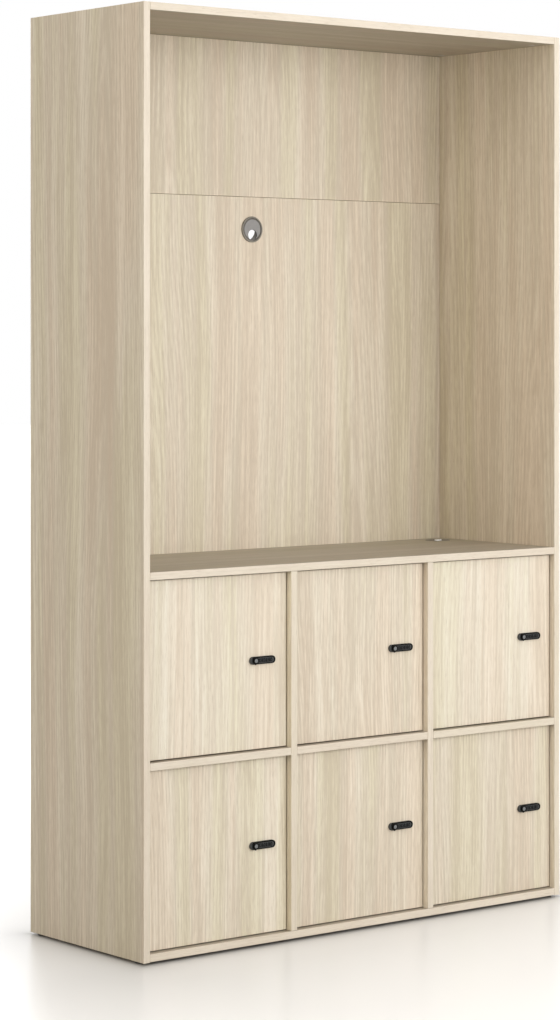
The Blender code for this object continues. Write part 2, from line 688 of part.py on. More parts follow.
clear_scene()
PARTS = new_collection("office_cabinet")
CUTTERS = new_collection("office_cabinet_cutters")
make_finishes()
make_sides()
make_shelves()
make_dividers()
make_backs()
make_feet()
make_grommet()
make_lockers()
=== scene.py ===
"""Looks of an office cabinet: an open niche over six lockers, each with a combination lock.

Lengths are in metres, +Z is up and the front faces -Y. Every piece is built where the frame has it.
"""

import json
import math

import bmesh
import bpy
from bpy.props import FloatProperty, FloatVectorProperty, IntProperty, PointerProperty
from mathutils import Matrix, Vector


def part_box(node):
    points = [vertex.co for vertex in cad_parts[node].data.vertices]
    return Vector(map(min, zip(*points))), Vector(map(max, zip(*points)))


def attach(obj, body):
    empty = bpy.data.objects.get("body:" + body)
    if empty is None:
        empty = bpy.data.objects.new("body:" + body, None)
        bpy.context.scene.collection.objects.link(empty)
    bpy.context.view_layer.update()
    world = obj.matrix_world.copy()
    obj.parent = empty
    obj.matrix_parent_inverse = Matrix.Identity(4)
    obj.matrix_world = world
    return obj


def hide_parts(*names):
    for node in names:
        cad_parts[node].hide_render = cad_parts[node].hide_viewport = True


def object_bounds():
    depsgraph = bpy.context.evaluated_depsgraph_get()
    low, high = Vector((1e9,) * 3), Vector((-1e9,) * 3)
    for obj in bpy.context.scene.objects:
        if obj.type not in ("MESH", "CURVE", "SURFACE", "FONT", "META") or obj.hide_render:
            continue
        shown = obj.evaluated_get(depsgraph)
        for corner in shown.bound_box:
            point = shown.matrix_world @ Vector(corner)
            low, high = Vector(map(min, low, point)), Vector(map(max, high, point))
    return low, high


bl_info = {
    "name": "Office cabinet",
    "version": (1, 0, 0),
    "blender": (4, 5, 0),
    "location": "View3D > Sidebar > Cabinet",
    "description": "Finishes the boards, hinges, locks and fittings of an office cabinet",
    "category": "Object",
}

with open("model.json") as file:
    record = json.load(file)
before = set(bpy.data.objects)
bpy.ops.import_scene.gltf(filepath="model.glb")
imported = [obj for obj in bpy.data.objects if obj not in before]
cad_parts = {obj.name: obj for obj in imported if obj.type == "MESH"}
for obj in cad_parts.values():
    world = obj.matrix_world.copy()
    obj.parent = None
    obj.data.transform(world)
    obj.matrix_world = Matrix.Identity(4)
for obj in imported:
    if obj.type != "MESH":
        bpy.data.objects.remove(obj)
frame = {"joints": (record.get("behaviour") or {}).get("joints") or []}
CAD_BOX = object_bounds()
JOINTS = {joint["name"]: Vector(joint["pos_m"]) for joint in frame["joints"]}

# Pieces of the frame
ROWS = ("lower", "upper")
COLUMNS = ("left", "centre", "right")
LOCKERS = [f"{row}_{column}" for row in ROWS for column in COLUMNS]
HINGE_ENDS = ("top", "bottom")
FEET = [f"foot_{end}_{side}" for end in ("front", "rear") for side in ("left", "right")]
SHELVES = ["worktop_shelf"] + [f"middle_shelf_{column}" for column in COLUMNS]
CONNECTED_BOARDS = ["top_panel"] + SHELVES

# Axes across the grain, through the board and along the grain
SIDE_GRAIN = (1, 0, 2)
SHELF_GRAIN = (1, 2, 0)
FACE_GRAIN = (0, 1, 2)
BOARDS = {
    **dict.fromkeys(("left_side_panel", "right_side_panel", "divider_left", "divider_right"), SIDE_GRAIN),
    **dict.fromkeys(("top_panel", "bottom_panel", *SHELVES), SHELF_GRAIN),
    **dict.fromkeys(("upper_back_panel", "lower_back_panel"), FACE_GRAIN),
}
GRAIN_STEP = Vector((0.371, 0.113, 0.829))  # shifts the figure from one board to the next
BACK_LEAVES = {"upper_back_panel": 1.45, "lower_back_panel": 0.0}  # steps that shift the back's figure
DOOR_PALENESS = {"upper_left": 0.27, "upper_right": 0.24, "lower_left": 0.1}  # doors cut from paler sheets
# The cabinet's top keeps the laminate without the painted shade of the level boards.
FACE, BAND, CORE, OUTSIDE = range(4)  # finishes of a board: its faces, edges, cut core and the cabinet's top

# Sizes of hardware that the frame's boxes don't give
CAM_SLOTS = {"divider_left": "left", "divider_right": "centre", "right_side_panel": "right"}
CAM_PLAY = 0.0012
CUP_BORE = 0.035
CUP_BORE_DEPTH = 0.012
CUP_INSET = 0.0225  # door's edge to the middle of a hinge cup
BARREL_BORE = 0.0153
DIAL_COUNT = 4
DIAL_WIDTH = 0.0082
DIAL_SLACK = 0.0003  # between a dial and the sides of its window
DIAL_SEAT_SLACK = 0.0008  # between the dials and their seat in the door
DIAL_SHAFT_END = 0.0017  # end of the dials to the end of their shaft
DIAL_SHAFT_RADIUS = 0.00145
SPINDLE_RADIUS = 0.0035
SPINDLE_SLACK = 0.0003
DIGIT_COUNT = 10
DIGIT_HEIGHT = 0.0027
TYPE_SIZE = 1.4  # size of type that makes a digit one unit high
DIGIT_DEPTH = 0.00025
KNOB_HEIGHT = 0.0047
CAP_THICKNESS = 0.003
CAP_CLEARANCE = 0.0003
CABLE_HOLE_RADIUS = 0.0122
CABLE_HOLE_DROP = 0.0127  # middle of the grommet to the middle of its cable hole
GROMMET_BORE = 0.0563

# Print of the laminate: scale across and along the grain, detail, roughness and shift of each layer
NO_SHIFT = (0.0, 0.0, 0.0)
PRINT_LAYERS = {
    "bands": (24.0, 0.7, 2.0, 0.55, NO_SHIFT),
    "streaks": (110.0, 2.4, 3.0, 0.6, NO_SHIFT),
    "fibres": (300.0, 5.5, 2.0, 0.5, NO_SHIFT),
    "ticks": (560.0, 36.0, 1.0, 0.5, (1.3, 2.9, 0.7)),
    "pores": (1100.0, 42.0, 1.0, 0.5, NO_SHIFT),
    "veins": (95.0, 1.3, 1.0, 0.5, (7.1, 4.4, 2.2)),
    "casts": (15.0, 0.5, 2.0, 0.5, (3.7, 1.9, 5.3)),
}
STRAND_WEIGHTS = {"streaks": 1.0, "fibres": 0.9, "ticks": 0.75}

# Lamps: place, aim, width and height, power and colour
WHITE = (1.0, 1.0, 1.0)
SKY_COLOUR = (1.0, 0.92, 0.78)
LAMPS = {
    "front_light": ((2.4, -4.2, 1.9), (0.0, 0.0, 1.1), (4.2, 3.2), 126.0, WHITE),
    "middle_light": ((0.2, -4.8, 1.7), (0.0, 0.0, 1.1), (2.2, 2.2), 48.0, WHITE),
    "near_light": ((-3.6, -3.8, 1.6), (0.0, 0.0, 1.2), (2.6, 2.6), 29.0, WHITE),
    "side_light": ((-4.4, -1.0, 2.3), (0.0, 0.0, 1.2), (2.2, 2.2), 79.0, (1.0, 0.95, 0.88)),
    "top_light": ((0.0, -2.2, 4.4), (0.0, 0.0, 1.2), (3.0, 3.0), 36.0, WHITE),
    "back_light": ((0.6, 4.6, 2.6), (0.0, 0.0, 1.1), (3.0, 3.0), 150.0, WHITE),
    "right_light": ((4.6, 1.0, 2.2), (0.6, 0.0, 1.1), (2.4, 2.4), 120.0, WHITE),
    "over_light": ((0.0, 0.0, 3.2), (0.0, 0.0, 2.0), (1.2, 0.5), 8.0, WHITE),
}

# Fineness and fits
EDGE_STEPS = 3
FINE_STEPS = 64
WHEEL_STEPS = 60
ROUND_STEPS = 48
PLAIN_STEPS = 32
SMALL_STEPS = 24
COARSE_STEPS = 12
SHARP_ANGLE = math.radians(50)
MERGE_DISTANCE = 0.000005
OVERSHOOT = 0.001
SEAT = 0.0001  # lift of a piece off the face that it lies on
CHAMFER = 0.0003
FULL_TURN = 2 * math.pi
QUARTER_TURN = math.pi / 2
FACING_FRONT = Matrix.Rotation(QUARTER_TURN, 4, "X")  # local x right, y up, z towards the front
FACING_BACK = Matrix.Rotation(-QUARTER_TURN, 4, "X")  # local x right, y down, z towards the back
FACING_RIGHT = Matrix.Rotation(QUARTER_TURN, 4, "Y")
FACING_DOWN = Matrix.Rotation(math.pi, 4, "X")
POINTING_UP = Matrix.Rotation(QUARTER_TURN, 4, "Z")  # turns what lies along local x
POINTING_DOWN = Matrix.Rotation(-QUARTER_TURN, 4, "Z")


def length(title, note, default):
    return FloatProperty(name=title, description=note, default=default, min=0.0, unit="LENGTH", precision=4)


def colour(title, note, default):
    return FloatVectorProperty(
        name=title, description=note, default=default, size=3, min=0.0, max=1.0, subtype="COLOR"
    )


def share(title, note, default):
    return FloatProperty(name=title, description=note, default=default, min=0.0, max=1.0, subtype="FACTOR")


class CabinetLaminate(bpy.types.PropertyGroup):
    """Wood-grain laminate of the boards and doors"""

    edge_radius: length("Edge radius", "Rounding of the banded edges", 0.0007)
    light: colour("Light", "Colour of the palest streaks", (0.862, 0.8, 0.68))
    middle: colour("Middle", "Main colour of the figure", (0.768, 0.69, 0.56))
    dark: colour("Dark", "Colour of the darkest streaks", (0.626, 0.54, 0.42))
    rosy: colour("Rosy cast", "Cast of the pinkish stripes", (1.0, 0.968, 0.955))
    olive: colour("Olive cast", "Cast of the greenish stripes", (0.972, 0.98, 0.925))
    pore: colour("Pores", "Colour of the fine pores", (0.47, 0.38, 0.28))
    band: colour("Edge band", "Main colour of the edge banding", (0.765, 0.683, 0.565))
    core: colour("Core", "Colour of the board where it is cut", (0.42, 0.31, 0.19))
    # Painted shade: the faces of the level boards are printed darker, standing in for the weaker light on
    # level faces.
    level_shade: share("Level boards", "Tone of the level boards against the upright ones", 0.58)


class CabinetHinges(bpy.types.PropertyGroup):
    """Hidden hinges of the doors"""

    cup_wall: length("Cup wall", "Thickness of the pressed cup", 0.0008)
    cup_lip: length("Cup lip", "Width of the lip around the cup", 0.002)
    wing_span: length("Wing span", "Height of the cup's flange", 0.062)
    wing_width: length("Wing width", "Width of the cup's flange", 0.015)
    plate_span: length("Plate span", "Height of the mounting plate", 0.044)
    steel: colour("Steel", "Colour of the plated steel", (0.66, 0.65, 0.63))


class CabinetLocks(bpy.types.PropertyGroup):
    """Combination locks of the doors"""

    rim_radius: length("Rim radius", "Rounding of the housing's front rim", 0.0013)
    rim_width: length("Rim width", "Width of the housing's raised rim", 0.0027)
    broad_end: length("Broad end", "How much broader the rim is at the end away from the knob", 0.0022)
    panel_depth: length("Panel depth", "How far the face panel lies below the rim", 0.0005)
    window_height: length("Window height", "Height of the openings over the dials", 0.0088)
    # Painted highlight: the outer part of the housing's rounded end at the knob takes the grey panel finish,
    # where light falls on its rounding.
    grey_end: FloatProperty(
        name="Grey end", description="Where the grey of the housing's end stops, from the knob's axis",
        default=-0.006, unit="LENGTH",
    )
    pointer_reach: length("Pointer reach", "Knob's axis to the tip of its pointer", 0.0092)
    pointer_width: length("Pointer width", "Width of the knob's pointer", 0.0046)
    flutes: IntProperty(name="Flutes", description="Grip flutes around a knob", default=24, min=8)
    key_slot: length("Key slot", "Length of the slot for the key", 0.0052)
    metal: colour("Metal", "Colour of the housing and the knob", (0.006, 0.006, 0.0055))
    panel: colour("Panel", "Colour of the face panel", (0.052, 0.054, 0.053))
    dial: colour("Dials", "Colour of the number dials", (0.006, 0.0065, 0.007))
    digits: colour("Digits", "Colour of the numbers", (0.13, 0.13, 0.125))
    key: colour("Key cylinder", "Colour of the key cylinder's face", (0.16, 0.165, 0.165))
    cam: colour("Cam", "Colour of the plated cam", (0.64, 0.62, 0.55))


class CabinetFittings(bpy.types.PropertyGroup):
    """Cable grommets, connector caps and feet"""

    grommet: colour("Grommet", "Colour of the cable grommet", (0.215, 0.205, 0.195))
    ring: colour("Grommet ring", "Colour of the grommet's ring", (0.26, 0.24, 0.205))
    # Painted shade: the groove round the grommet's cap, and the gap and finger slot of the worktop outlet,
    # are coloured darker.
    groove: colour("Grommet groove", "Colour of the groove round the grommet's cap", (0.11, 0.098, 0.082))
    groove_width: length("Groove width", "Width of the groove round the grommet's cap", 0.0028)
    cap: colour("Connector cap", "Colour of the connector caps", (0.52, 0.5, 0.47))
    cap_diameter: length("Connector cap diameter", "Diameter of a connector cap", 0.0155)
    cap_side_distance: length("Cap to side", "Side panel to the middle of a cap", 0.024)
    cap_front_distance: length("Cap to front", "Front edge to the middle of a front cap", 0.052)
    cap_back_distance: length("Cap to back", "Back panel to the middle of a rear cap", 0.033)
    outlet_side_distance: length("Outlet to side", "Side panel to the middle of the worktop outlet", 0.0635)
    outlet_back_distance: length("Outlet to back", "Back panel to the middle of the worktop outlet", 0.063)
    outlet_height: length("Outlet height", "How far the worktop outlet stands up", 0.0008)
    # Painted highlight: the raised tab is coloured near white, standing in for a glint.
    outlet_tab: colour("Outlet tab", "Colour of the tab on the worktop outlet's lid", (0.92, 0.92, 0.91))
    # Also the near black painted shade on the wall of the grommet cap's cable hole.
    rubber: colour("Feet", "Colour of the feet", (0.03, 0.03, 0.031))


class CabinetStage(bpy.types.PropertyGroup):
    """Floor, light and camera"""

    floor_size: length("Floor", "Width of the floor", 60.0)
    floor_colour: colour("Floor colour", "Colour of the floor", (0.415, 0.4, 0.377))
    # The floor's white is weaker near the cabinet than far from it and fades out at its footprint: painted
    # shade and a painted contact shadow.
    floor_glow: share("Floor white", "White that the camera sees on top of the floor's own light", 0.4)
    far_glow: share("Far white", "The same a few steps away from the cabinet", 0.75)
    floor_sheen: share("Floor sheen", "Roughness of the polished floor", 0.25)
    # Painted contact shadow: reach of the fade of the floor's white towards the cabinet.
    contact: length("Contact", "Distance from the cabinet at which half of the floor's white is left", 0.022)
    sky: share("Sky", "Strength of the even light from all around", 0.08)
    camera_place: FloatVectorProperty(
        name="Camera", description="Place of the camera", default=(-4.1776, -5.1134, 1.3113), subtype="XYZ"
    )
    camera_heading: FloatProperty(
        name="Heading", description="Turn of the camera to the right of straight ahead",
        default=math.radians(38.787), subtype="ANGLE",
    )
    lens: FloatProperty(name="Lens", description="Focal length in millimetres", default=103.05, unit="CAMERA")
    drop: FloatProperty(name="Drop", description="Vertical shift of the camera", default=-0.1721)


# Shapes
def round_edges(shape, edges, radius, steps=EDGE_STEPS):
    bmesh.ops.bevel(
        shape, geom=list(edges), offset=radius, segments=steps, profile=0.5, affect="EDGES", material=-1,
        clamp_overlap=True,
    )


def edges_above(shape, height):
    return [edge for edge in shape.edges if all(vert.co.z > height for vert in edge.verts)]


def at(x=0.0, y=0.0, z=0.0):
    return Matrix.Translation((x, y, z))


def moved(shape, matrix):
    bmesh.ops.transform(shape, matrix=matrix, verts=shape.verts)
    return shape


def copied(shape, matrix):
    return moved(shape.copy(), matrix)


def copies_around(shape, count, start=0.0):
    """Return copies of a shape in even steps around the z axis. They use it up."""
    turns = [Matrix.Rotation(FULL_TURN * (step + start) / count, 4, "Z") for step in range(count)]
    copies = [copied(shape, turn) for turn in turns]
    shape.free()
    return copies


def block(low, high, radius=0.0, steps=EDGE_STEPS):
    """Return a box between two corners, with its edges rounded."""
    low, high = Vector(low), Vector(high)
    shape = bmesh.new()
    bmesh.ops.create_cube(shape, size=1.0)
    bmesh.ops.scale(shape, vec=high - low, verts=shape.verts)
    bmesh.ops.translate(shape, vec=(low + high) / 2, verts=shape.verts)
    if radius:
        round_edges(shape, shape.edges, radius, steps)
    return shape


def rod(diameter, low, high, steps=SMALL_STEPS):
    """Return a round rod about the z axis between two heights."""
    shape = bmesh.new()
    radius = diameter / 2
    bmesh.ops.create_cone(
        shape, cap_ends=True, segments=steps, radius1=radius, radius2=radius, depth=high - low
    )
    bmesh.ops.translate(shape, vec=(0.0, 0.0, (low + high) / 2), verts=shape.verts)
    return shape


def bar(span, width, low, high, steps=ROUND_STEPS):
    """Return a bar along x with half round ends, the first one about the origin, between two heights."""
    shape = bmesh.new()
    bmesh.ops.create_circle(shape, cap_ends=True, radius=width / 2, segments=steps)
    half_step = Matrix.Rotation(math.pi / steps, 3, "Z")
    bmesh.ops.rotate(shape, cent=(0.0, 0.0, 0.0), matrix=half_step, verts=shape.verts)
    far_end = [vert for vert in shape.verts if vert.co.x > 0.0]
    bmesh.ops.translate(shape, vec=(span - width, 0.0, 0.0), verts=far_end)
    bmesh.ops.translate(shape, vec=(0.0, 0.0, low), verts=shape.verts)
    raised = bmesh.ops.extrude_face_region(shape, geom=list(shape.faces))["geom"]
    lifted = [item for item in raised if isinstance(item, bmesh.types.BMVert)]
    bmesh.ops.translate(shape, vec=(0.0, 0.0, high - low), verts=lifted)
    bmesh.ops.recalc_face_normals(shape, faces=shape.faces)
    return shape


def middle_bar(span, width, low, high, steps=ROUND_STEPS):
    """Return a bar along x with half round ends, with its middle over the origin."""
    return moved(bar(span, width, low, high, steps), at((width - span) / 2))


def turned(profile, steps=ROUND_STEPS):
    """Return a shape turned about the z axis from a profile of radius and height."""
    shape = bmesh.new()
    points = [shape.verts.new((radius, 0.0, height)) for radius, height in profile]
    edges = [shape.edges.new(pair) for pair in zip(points, points[1:])]
    bmesh.ops.spin(
        shape, geom=points + edges, cent=(0.0, 0.0, 0.0), axis=(0.0, 0.0, 1.0), angle=FULL_TURN, steps=steps,
        use_merge=True,
    )
    bmesh.ops.remove_doubles(shape, verts=shape.verts, dist=MERGE_DISTANCE)
    bmesh.ops.recalc_face_normals(shape, faces=shape.faces)
    return shape


def coloured(shape, finish):
    for face in shape.faces:
        face.material_index = finish
    return shape


def mesh_of(name, shape):
    """Return a shape as a mesh, which uses it up."""
    mesh = bpy.data.meshes.new(name)
    shape.to_mesh(mesh)
    shape.free()
    return mesh


def add_object(name, data):
    thing = bpy.data.objects.new(name, data)
    bpy.context.scene.collection.objects.link(thing)
    return thing


def joined(shape, *others):
    """Add other shapes to a shape, as separate shells."""
    for other in others:
        mesh = mesh_of("joined", other)
        shape.from_mesh(mesh)
        bpy.data.meshes.remove(mesh)
    return shape


def with_copies(shape, part, places):
    """Add a copy of a part to a shape at each place. The part is used up."""
    for place in places:
        joined(shape, copied(part, place))
    part.free()
    return shape


def stand_in(shape):
    """Return a short-lived object for a shape, with a slot for each finish that its faces use."""
    mesh = mesh_of("stand_in", shape)
    for _ in (FACE, BAND, CORE):
        mesh.materials.append(None)
    return add_object("stand_in", mesh)


def shape_of(thing):
    """Return the shape of an object after its modifiers."""
    bpy.context.view_layer.update()
    seen = thing.evaluated_get(bpy.context.evaluated_depsgraph_get())
    mesh = bpy.data.meshes.new_from_object(seen)
    shape = bmesh.new()
    shape.from_mesh(mesh)
    bpy.data.meshes.remove(mesh)
    return shape


def combined(shape, others, operation):
    """Return a shape after other shapes are cut from it or fused with it."""
    things = [stand_in(item) for item in (shape, *others)]
    for other in things[1:]:
        change = things[0].modifiers.new("change", "BOOLEAN")
        change.operation = operation
        change.object = other
    result = shape_of(things[0])
    for thing in things:
        used = thing.data
        bpy.data.objects.remove(thing, do_unlink=True)
        bpy.data.meshes.remove(used)
    bmesh.ops.remove_doubles(result, verts=result.verts, dist=MERGE_DISTANCE)
    return result


def cut(shape, *cutters):
    return combined(shape, cutters, "DIFFERENCE")


def fused(shape, *others):
    return combined(shape, others, "UNION")


def add_piece(name, shape, finishes, body, slot, *replaced):
    """Add a finished piece that rides on a body and stands for nodes of the frame."""
    mesh = mesh_of(name, shape)
    for finish in finishes:
        mesh.materials.append(finish)
    mesh.shade_smooth()
    mesh.set_sharp_from_angle(angle=SHARP_ANGLE)
    piece = add_object(name, mesh)
    normals = piece.modifiers.new("normals", "WEIGHTED_NORMAL")
    normals.keep_sharp = True
    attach(piece, body)
    if replaced:
        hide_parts(*replaced)
    return piece


# Finishes
def fill(tree, made, sockets):
    """Set the sockets of a node to values, or link them to other nodes' outputs."""
    for name, value in sockets.items():
        if isinstance(value, bpy.types.NodeSocket):
            tree.links.new(value, made.inputs[name])
        else:
            made.inputs[name].default_value = value


def node(tree, kind, sockets=None, **settings):
    made = tree.nodes.new("ShaderNode" + kind)
    for name, value in settings.items():
        setattr(made, name, value)
    fill(tree, made, sockets or {})
    return made


def calc(tree, operation, *values):
    return node(tree, "Math", dict(enumerate(values)), operation=operation).outputs[0]


def own_place(tree):
    return node(tree, "TexCoord").outputs["Object"]


def stretched(tree, vector, scale, shift=NO_SHIFT):
    return node(tree, "Mapping", {"Vector": vector, "Scale": scale, "Location": shift}).outputs[0]


def noise(tree, vector, scale, detail=2.0, roughness=0.5, shift=NO_SHIFT):
    sockets = {
        "Vector": stretched(tree, vector, scale, shift), "Scale": 1.0, "Detail": detail,
        "Roughness": roughness,
    }
    return node(tree, "TexNoise", sockets).outputs["Fac"]


def opaque(shade):
    return (*shade, 1.0)


def toned(shade, factor):
    """Return a colour made paler or darker."""
    return [min(1.0, factor * part) for part in shade]


def ramp(tree, value, *stops):
    """Return colours along a value, from stops of position and colour."""
    made = node(tree, "ValToRGB", {"Fac": value})
    elements = made.color_ramp.elements
    while len(elements) < len(stops):
        elements.new(1.0)
    for element, (position, shade) in zip(elements, stops):
        element.position = position
        element.color = opaque(shade)
    return made.outputs["Color"]


def graded(tree, value, low, high, first, last):
    sockets = {"Value": value, "From Min": low, "From Max": high, "To Min": first, "To Max": last}
    return node(tree, "MapRange", sockets).outputs[0]


def blended(tree, factor, one, other, blend="MIX"):
    """Mix two colours."""
    return node(tree, "MixRGB", {"Fac": factor, "Color1": one, "Color2": other}, blend_type=blend).outputs[0]


def bump(tree, height, strength, distance):
    sockets = {"Height": height, "Strength": strength, "Distance": distance}
    return node(tree, "Bump", sockets).outputs["Normal"]


def new_finish(name):
    """Return a new material, its node tree and its shader."""
    made = bpy.data.materials.new(name)
    made.use_nodes = True
    return made, made.node_tree, made.node_tree.nodes["Principled BSDF"]


def laminate_finish(name, look, middle, contrast, shade=1.0):
    """Return a wood-grain print: bands, strands, arched growth rings, veins and pores along the grain."""
    made, tree, shader = new_finish(name)
    grain = node(tree, "Attribute", attribute_name="grain").outputs["Vector"]
    paleness = node(tree, "Attribute", attribute_name="paleness").outputs["Fac"]
    drift = noise(tree, grain, (3.0, 3.0, 1.1), detail=1.0)
    sway, band_weight, ring_weight, pore_relief = 0.05, 0.95, 0.1, -1.2
    aside = node(tree, "CombineXYZ", {"X": calc(tree, "MULTIPLY_ADD", drift, sway, -sway / 2)}).outputs[0]
    flow = node(tree, "VectorMath", {0: grain, 1: aside}, operation="ADD").outputs[0]
    layers = {
        layer: noise(tree, flow, (across, across, along), detail, roughness, shift)
        for layer, (across, along, detail, roughness, shift) in PRINT_LAYERS.items()
    }
    tone = calc(tree, "MULTIPLY_ADD", layers["bands"], band_weight, -0.225)
    for layer, weight in STRAND_WEIGHTS.items():
        tone = calc(tree, "MULTIPLY_ADD", layers[layer], weight, calc(tree, "SUBTRACT", tone, weight / 2))
    tone = calc(tree, "MULTIPLY_ADD", growth_rings(tree, flow, drift), ring_weight, tone)
    tone = graded(tree, tone, 0.5 - 0.5 / contrast, 0.5 + 0.5 / contrast, 0.0, 1.0)
    tone = calc(tree, "ADD", tone, paleness)
    # A shade below 1 darkens the print: painted shade on the level boards.
    dark, main, light = (Vector(part) * shade for part in (look.dark, middle, look.light))
    wood = ramp(tree, tone, (0.05, dark), (0.5, main), (0.95, light))
    cast = ramp(tree, layers["casts"], (0.4, look.rosy), (0.5, WHITE), (0.6, look.olive))
    wood = blended(tree, contrast, wood, cast, "MULTIPLY")
    vein_lines = graded(tree, layers["veins"], 0.63, 0.71, 0.0, 0.6)
    wood = blended(tree, vein_lines, wood, opaque(dark))
    open_pores = graded(tree, layers["pores"], 0.62, 0.74, 0.0, 0.45)
    relief = calc(tree, "MULTIPLY_ADD", open_pores, pore_relief, layers["fibres"])
    fill(tree, shader, {
        "Base Color": blended(tree, open_pores, wood, opaque(look.pore)),
        "Roughness": graded(tree, layers["fibres"], 0.3, 0.7, 0.42, 0.56),
        "Specular IOR Level": 0.35,
        "Normal": bump(tree, relief, 0.22, 0.0002),
    })
    return made


def growth_rings(tree, flow, drift):
    """Return the arches of a flat-cut trunk: rings about a tapering heart, once in each leaf of veneer."""
    leaf, depth, taper, waver, spacing = 0.15, 0.035, 0.03, 0.06, 0.0085
    place = node(tree, "SeparateXYZ", {"Vector": flow})
    off_heart = calc(tree, "PINGPONG", place.outputs["X"], leaf)
    radius = calc(tree, "SQRT", calc(tree, "MULTIPLY_ADD", off_heart, off_heart, depth * depth))
    radius = calc(tree, "MULTIPLY_ADD", place.outputs["Z"], taper, radius)
    radius = calc(tree, "MULTIPLY_ADD", drift, waver, radius)
    return calc(tree, "SINE", calc(tree, "MULTIPLY", radius, FULL_TURN / spacing))


def core_finish(name, look):
    """Return pressed wood chips, where a board is cut."""
    made, tree, shader = new_finish(name)
    place = stretched(tree, own_place(tree), (500.0, 500.0, 900.0))
    chips = node(tree, "TexVoronoi", {"Vector": place, "Scale": 1.0})
    shades = node(tree, "SeparateColor", {"Color": chips.outputs["Color"]}).outputs[0]
    deep, pale = toned(look.core, 0.55), toned(look.core, 1.5)
    fill(tree, shader, {
        "Base Color": ramp(tree, shades, (0.0, deep), (0.6, look.core), (1.0, pale)),
        "Roughness": 0.9,
        "Normal": bump(tree, chips.outputs["Distance"], 0.5, 0.0004),
    })
    return made


def metal_finish(name, shade, roughness, brushed, metallic=1.0):
    """Return plated or painted metal with fine brushing and a little uneven sheen."""
    made, tree, shader = new_finish(name)
    place = own_place(tree)
    lines = noise(tree, place, brushed, detail=3.0, roughness=0.65)
    clouds = noise(tree, place, (90.0, 90.0, 90.0), detail=3.0)
    dull, bright = opaque(toned(shade, 0.8)), opaque(toned(shade, 1.25))
    worn = blended(tree, graded(tree, clouds, 0.35, 0.75, 0.0, 0.3), opaque(shade), dull)
    fill(tree, shader, {
        "Base Color": blended(tree, graded(tree, lines, 0.55, 0.8, 0.0, 0.3), worn, bright),
        "Roughness": graded(tree, lines, 0.3, 0.7, roughness - 0.06, roughness + 0.08),
        "Metallic": metallic,
        "Normal": bump(tree, lines, 0.06, 0.0001),
    })
    return made


def moulded_finish(name, shade, roughness, pit_scale, relief=0.15, sheen=0.5):
    """Return moulded plastic or rubber with a fine spark-eroded grain and soft clouds of sheen."""
    made, tree, shader = new_finish(name)
    place = own_place(tree)
    pits = noise(tree, place, (pit_scale,) * 3, detail=2.0, roughness=0.6)
    clouds = noise(tree, place, (60.0, 60.0, 60.0), detail=2.0)
    deep, dull, bright = (opaque(toned(shade, factor)) for factor in (0.6, 0.93, 1.07))
    faded = blended(tree, graded(tree, clouds, 0.3, 0.7, 0.0, 1.0), dull, bright)
    fill(tree, shader, {
        "Base Color": blended(tree, graded(tree, pits, 0.5, 0.75, 0.0, 0.25), faded, deep),
        "Roughness": graded(tree, pits, 0.3, 0.7, roughness - 0.05, roughness + 0.07),
        "Specular IOR Level": sheen,
        "Normal": bump(tree, pits, relief, 0.0001),
    })
    return made


def finish_once(name, make, *values):
    """Return a finish that is made when it is first needed."""
    return bpy.data.materials.get(name) or make(name, *values)


def board_finishes(level=False):
    """Return the finishes of a board; a board that lies level gets a darker copy of the laminate on its
    faces, which is painted shade.
    """
    look = bpy.context.scene.cabinet_laminate
    face, shade = ("painted_shade_laminate", look.level_shade) if level else ("upright_laminate", 1.0)
    return [
        finish_once(face, laminate_finish, look, look.middle, 1.0, shade),
        finish_once("edge_band", laminate_finish, look, look.band, 0.35),
        finish_once("board_core", core_finish, look),
        finish_once("upright_laminate", laminate_finish, look, look.middle, 1.0),
    ]


# Boards and doors
def joint_place(name):
    """Return the frame of a joint that faces the front: x right, y up, z towards the front."""
    return Matrix.Translation(JOINTS[name]) @ FACING_FRONT


def lock_place(locker):
    """Return the frame of a lock on the face of its door."""
    return joint_place(f"lock_{locker}_turn")


def local_box(node_name, place):
    """Return the lowest and highest corner of a node in a frame that faces the front."""
    back = place.inverted()
    first, last = (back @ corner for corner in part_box(node_name))
    low = Vector([min(pair) for pair in zip(first, last)])
    high = Vector([max(pair) for pair in zip(first, last)])
    return low, high


def lay_grain(piece, axes, shift, paleness=0.0):
    """Store how far each point lies across, through and along the grain, and how pale the board is."""
    mesh = piece.data
    for name, kind in (("grain", "FLOAT_VECTOR"), ("paleness", "FLOAT")):
        mesh.attributes.new(name, kind, "POINT")
    for vert, item in zip(mesh.vertices, mesh.attributes["grain"].data):
        item.vector = Vector([vert.co[axis] for axis in axes]) + shift
    for item in mesh.attributes["paleness"].data:
        item.value = paleness


def board_shape(low, high, axes, cutters):
    """Return a board with banded narrow faces and cut openings."""
    shape = block(low, high, bpy.context.scene.cabinet_laminate.edge_radius)
    shape.normal_update()
    for face in shape.faces:
        if abs(face.normal[axes[1]]) < 0.5:
            face.material_index = BAND
    if cutters:
        shape = cut(shape, *[coloured(cutter, CORE) for cutter in cutters])
    return shape


def cam_slots(name, board_face):
    """Return cutters for the slots in a board that the cams swing into."""
    if name not in CAM_SLOTS:
        return []
    slots = []
    for row in ROWS:
        locker = f"{row}_{CAM_SLOTS[name]}"
        cam_low, cam_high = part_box(f"cam_{locker}")
        pivot = JOINTS[f"lock_{locker}_turn"]
        reach = pivot.z - cam_low.z
        half_width = (cam_high.x - cam_low.x) / 2
        drop = math.sqrt(reach**2 - (board_face - pivot.x) ** 2)
        slots.append(block(
            (board_face - OVERSHOOT, cam_low.y - CAM_PLAY, pivot.z - drop - CAM_PLAY),
            (pivot.x + reach + CAM_PLAY, cam_high.y + CAM_PLAY, pivot.z + half_width + CAM_PLAY),
        ))
    return slots


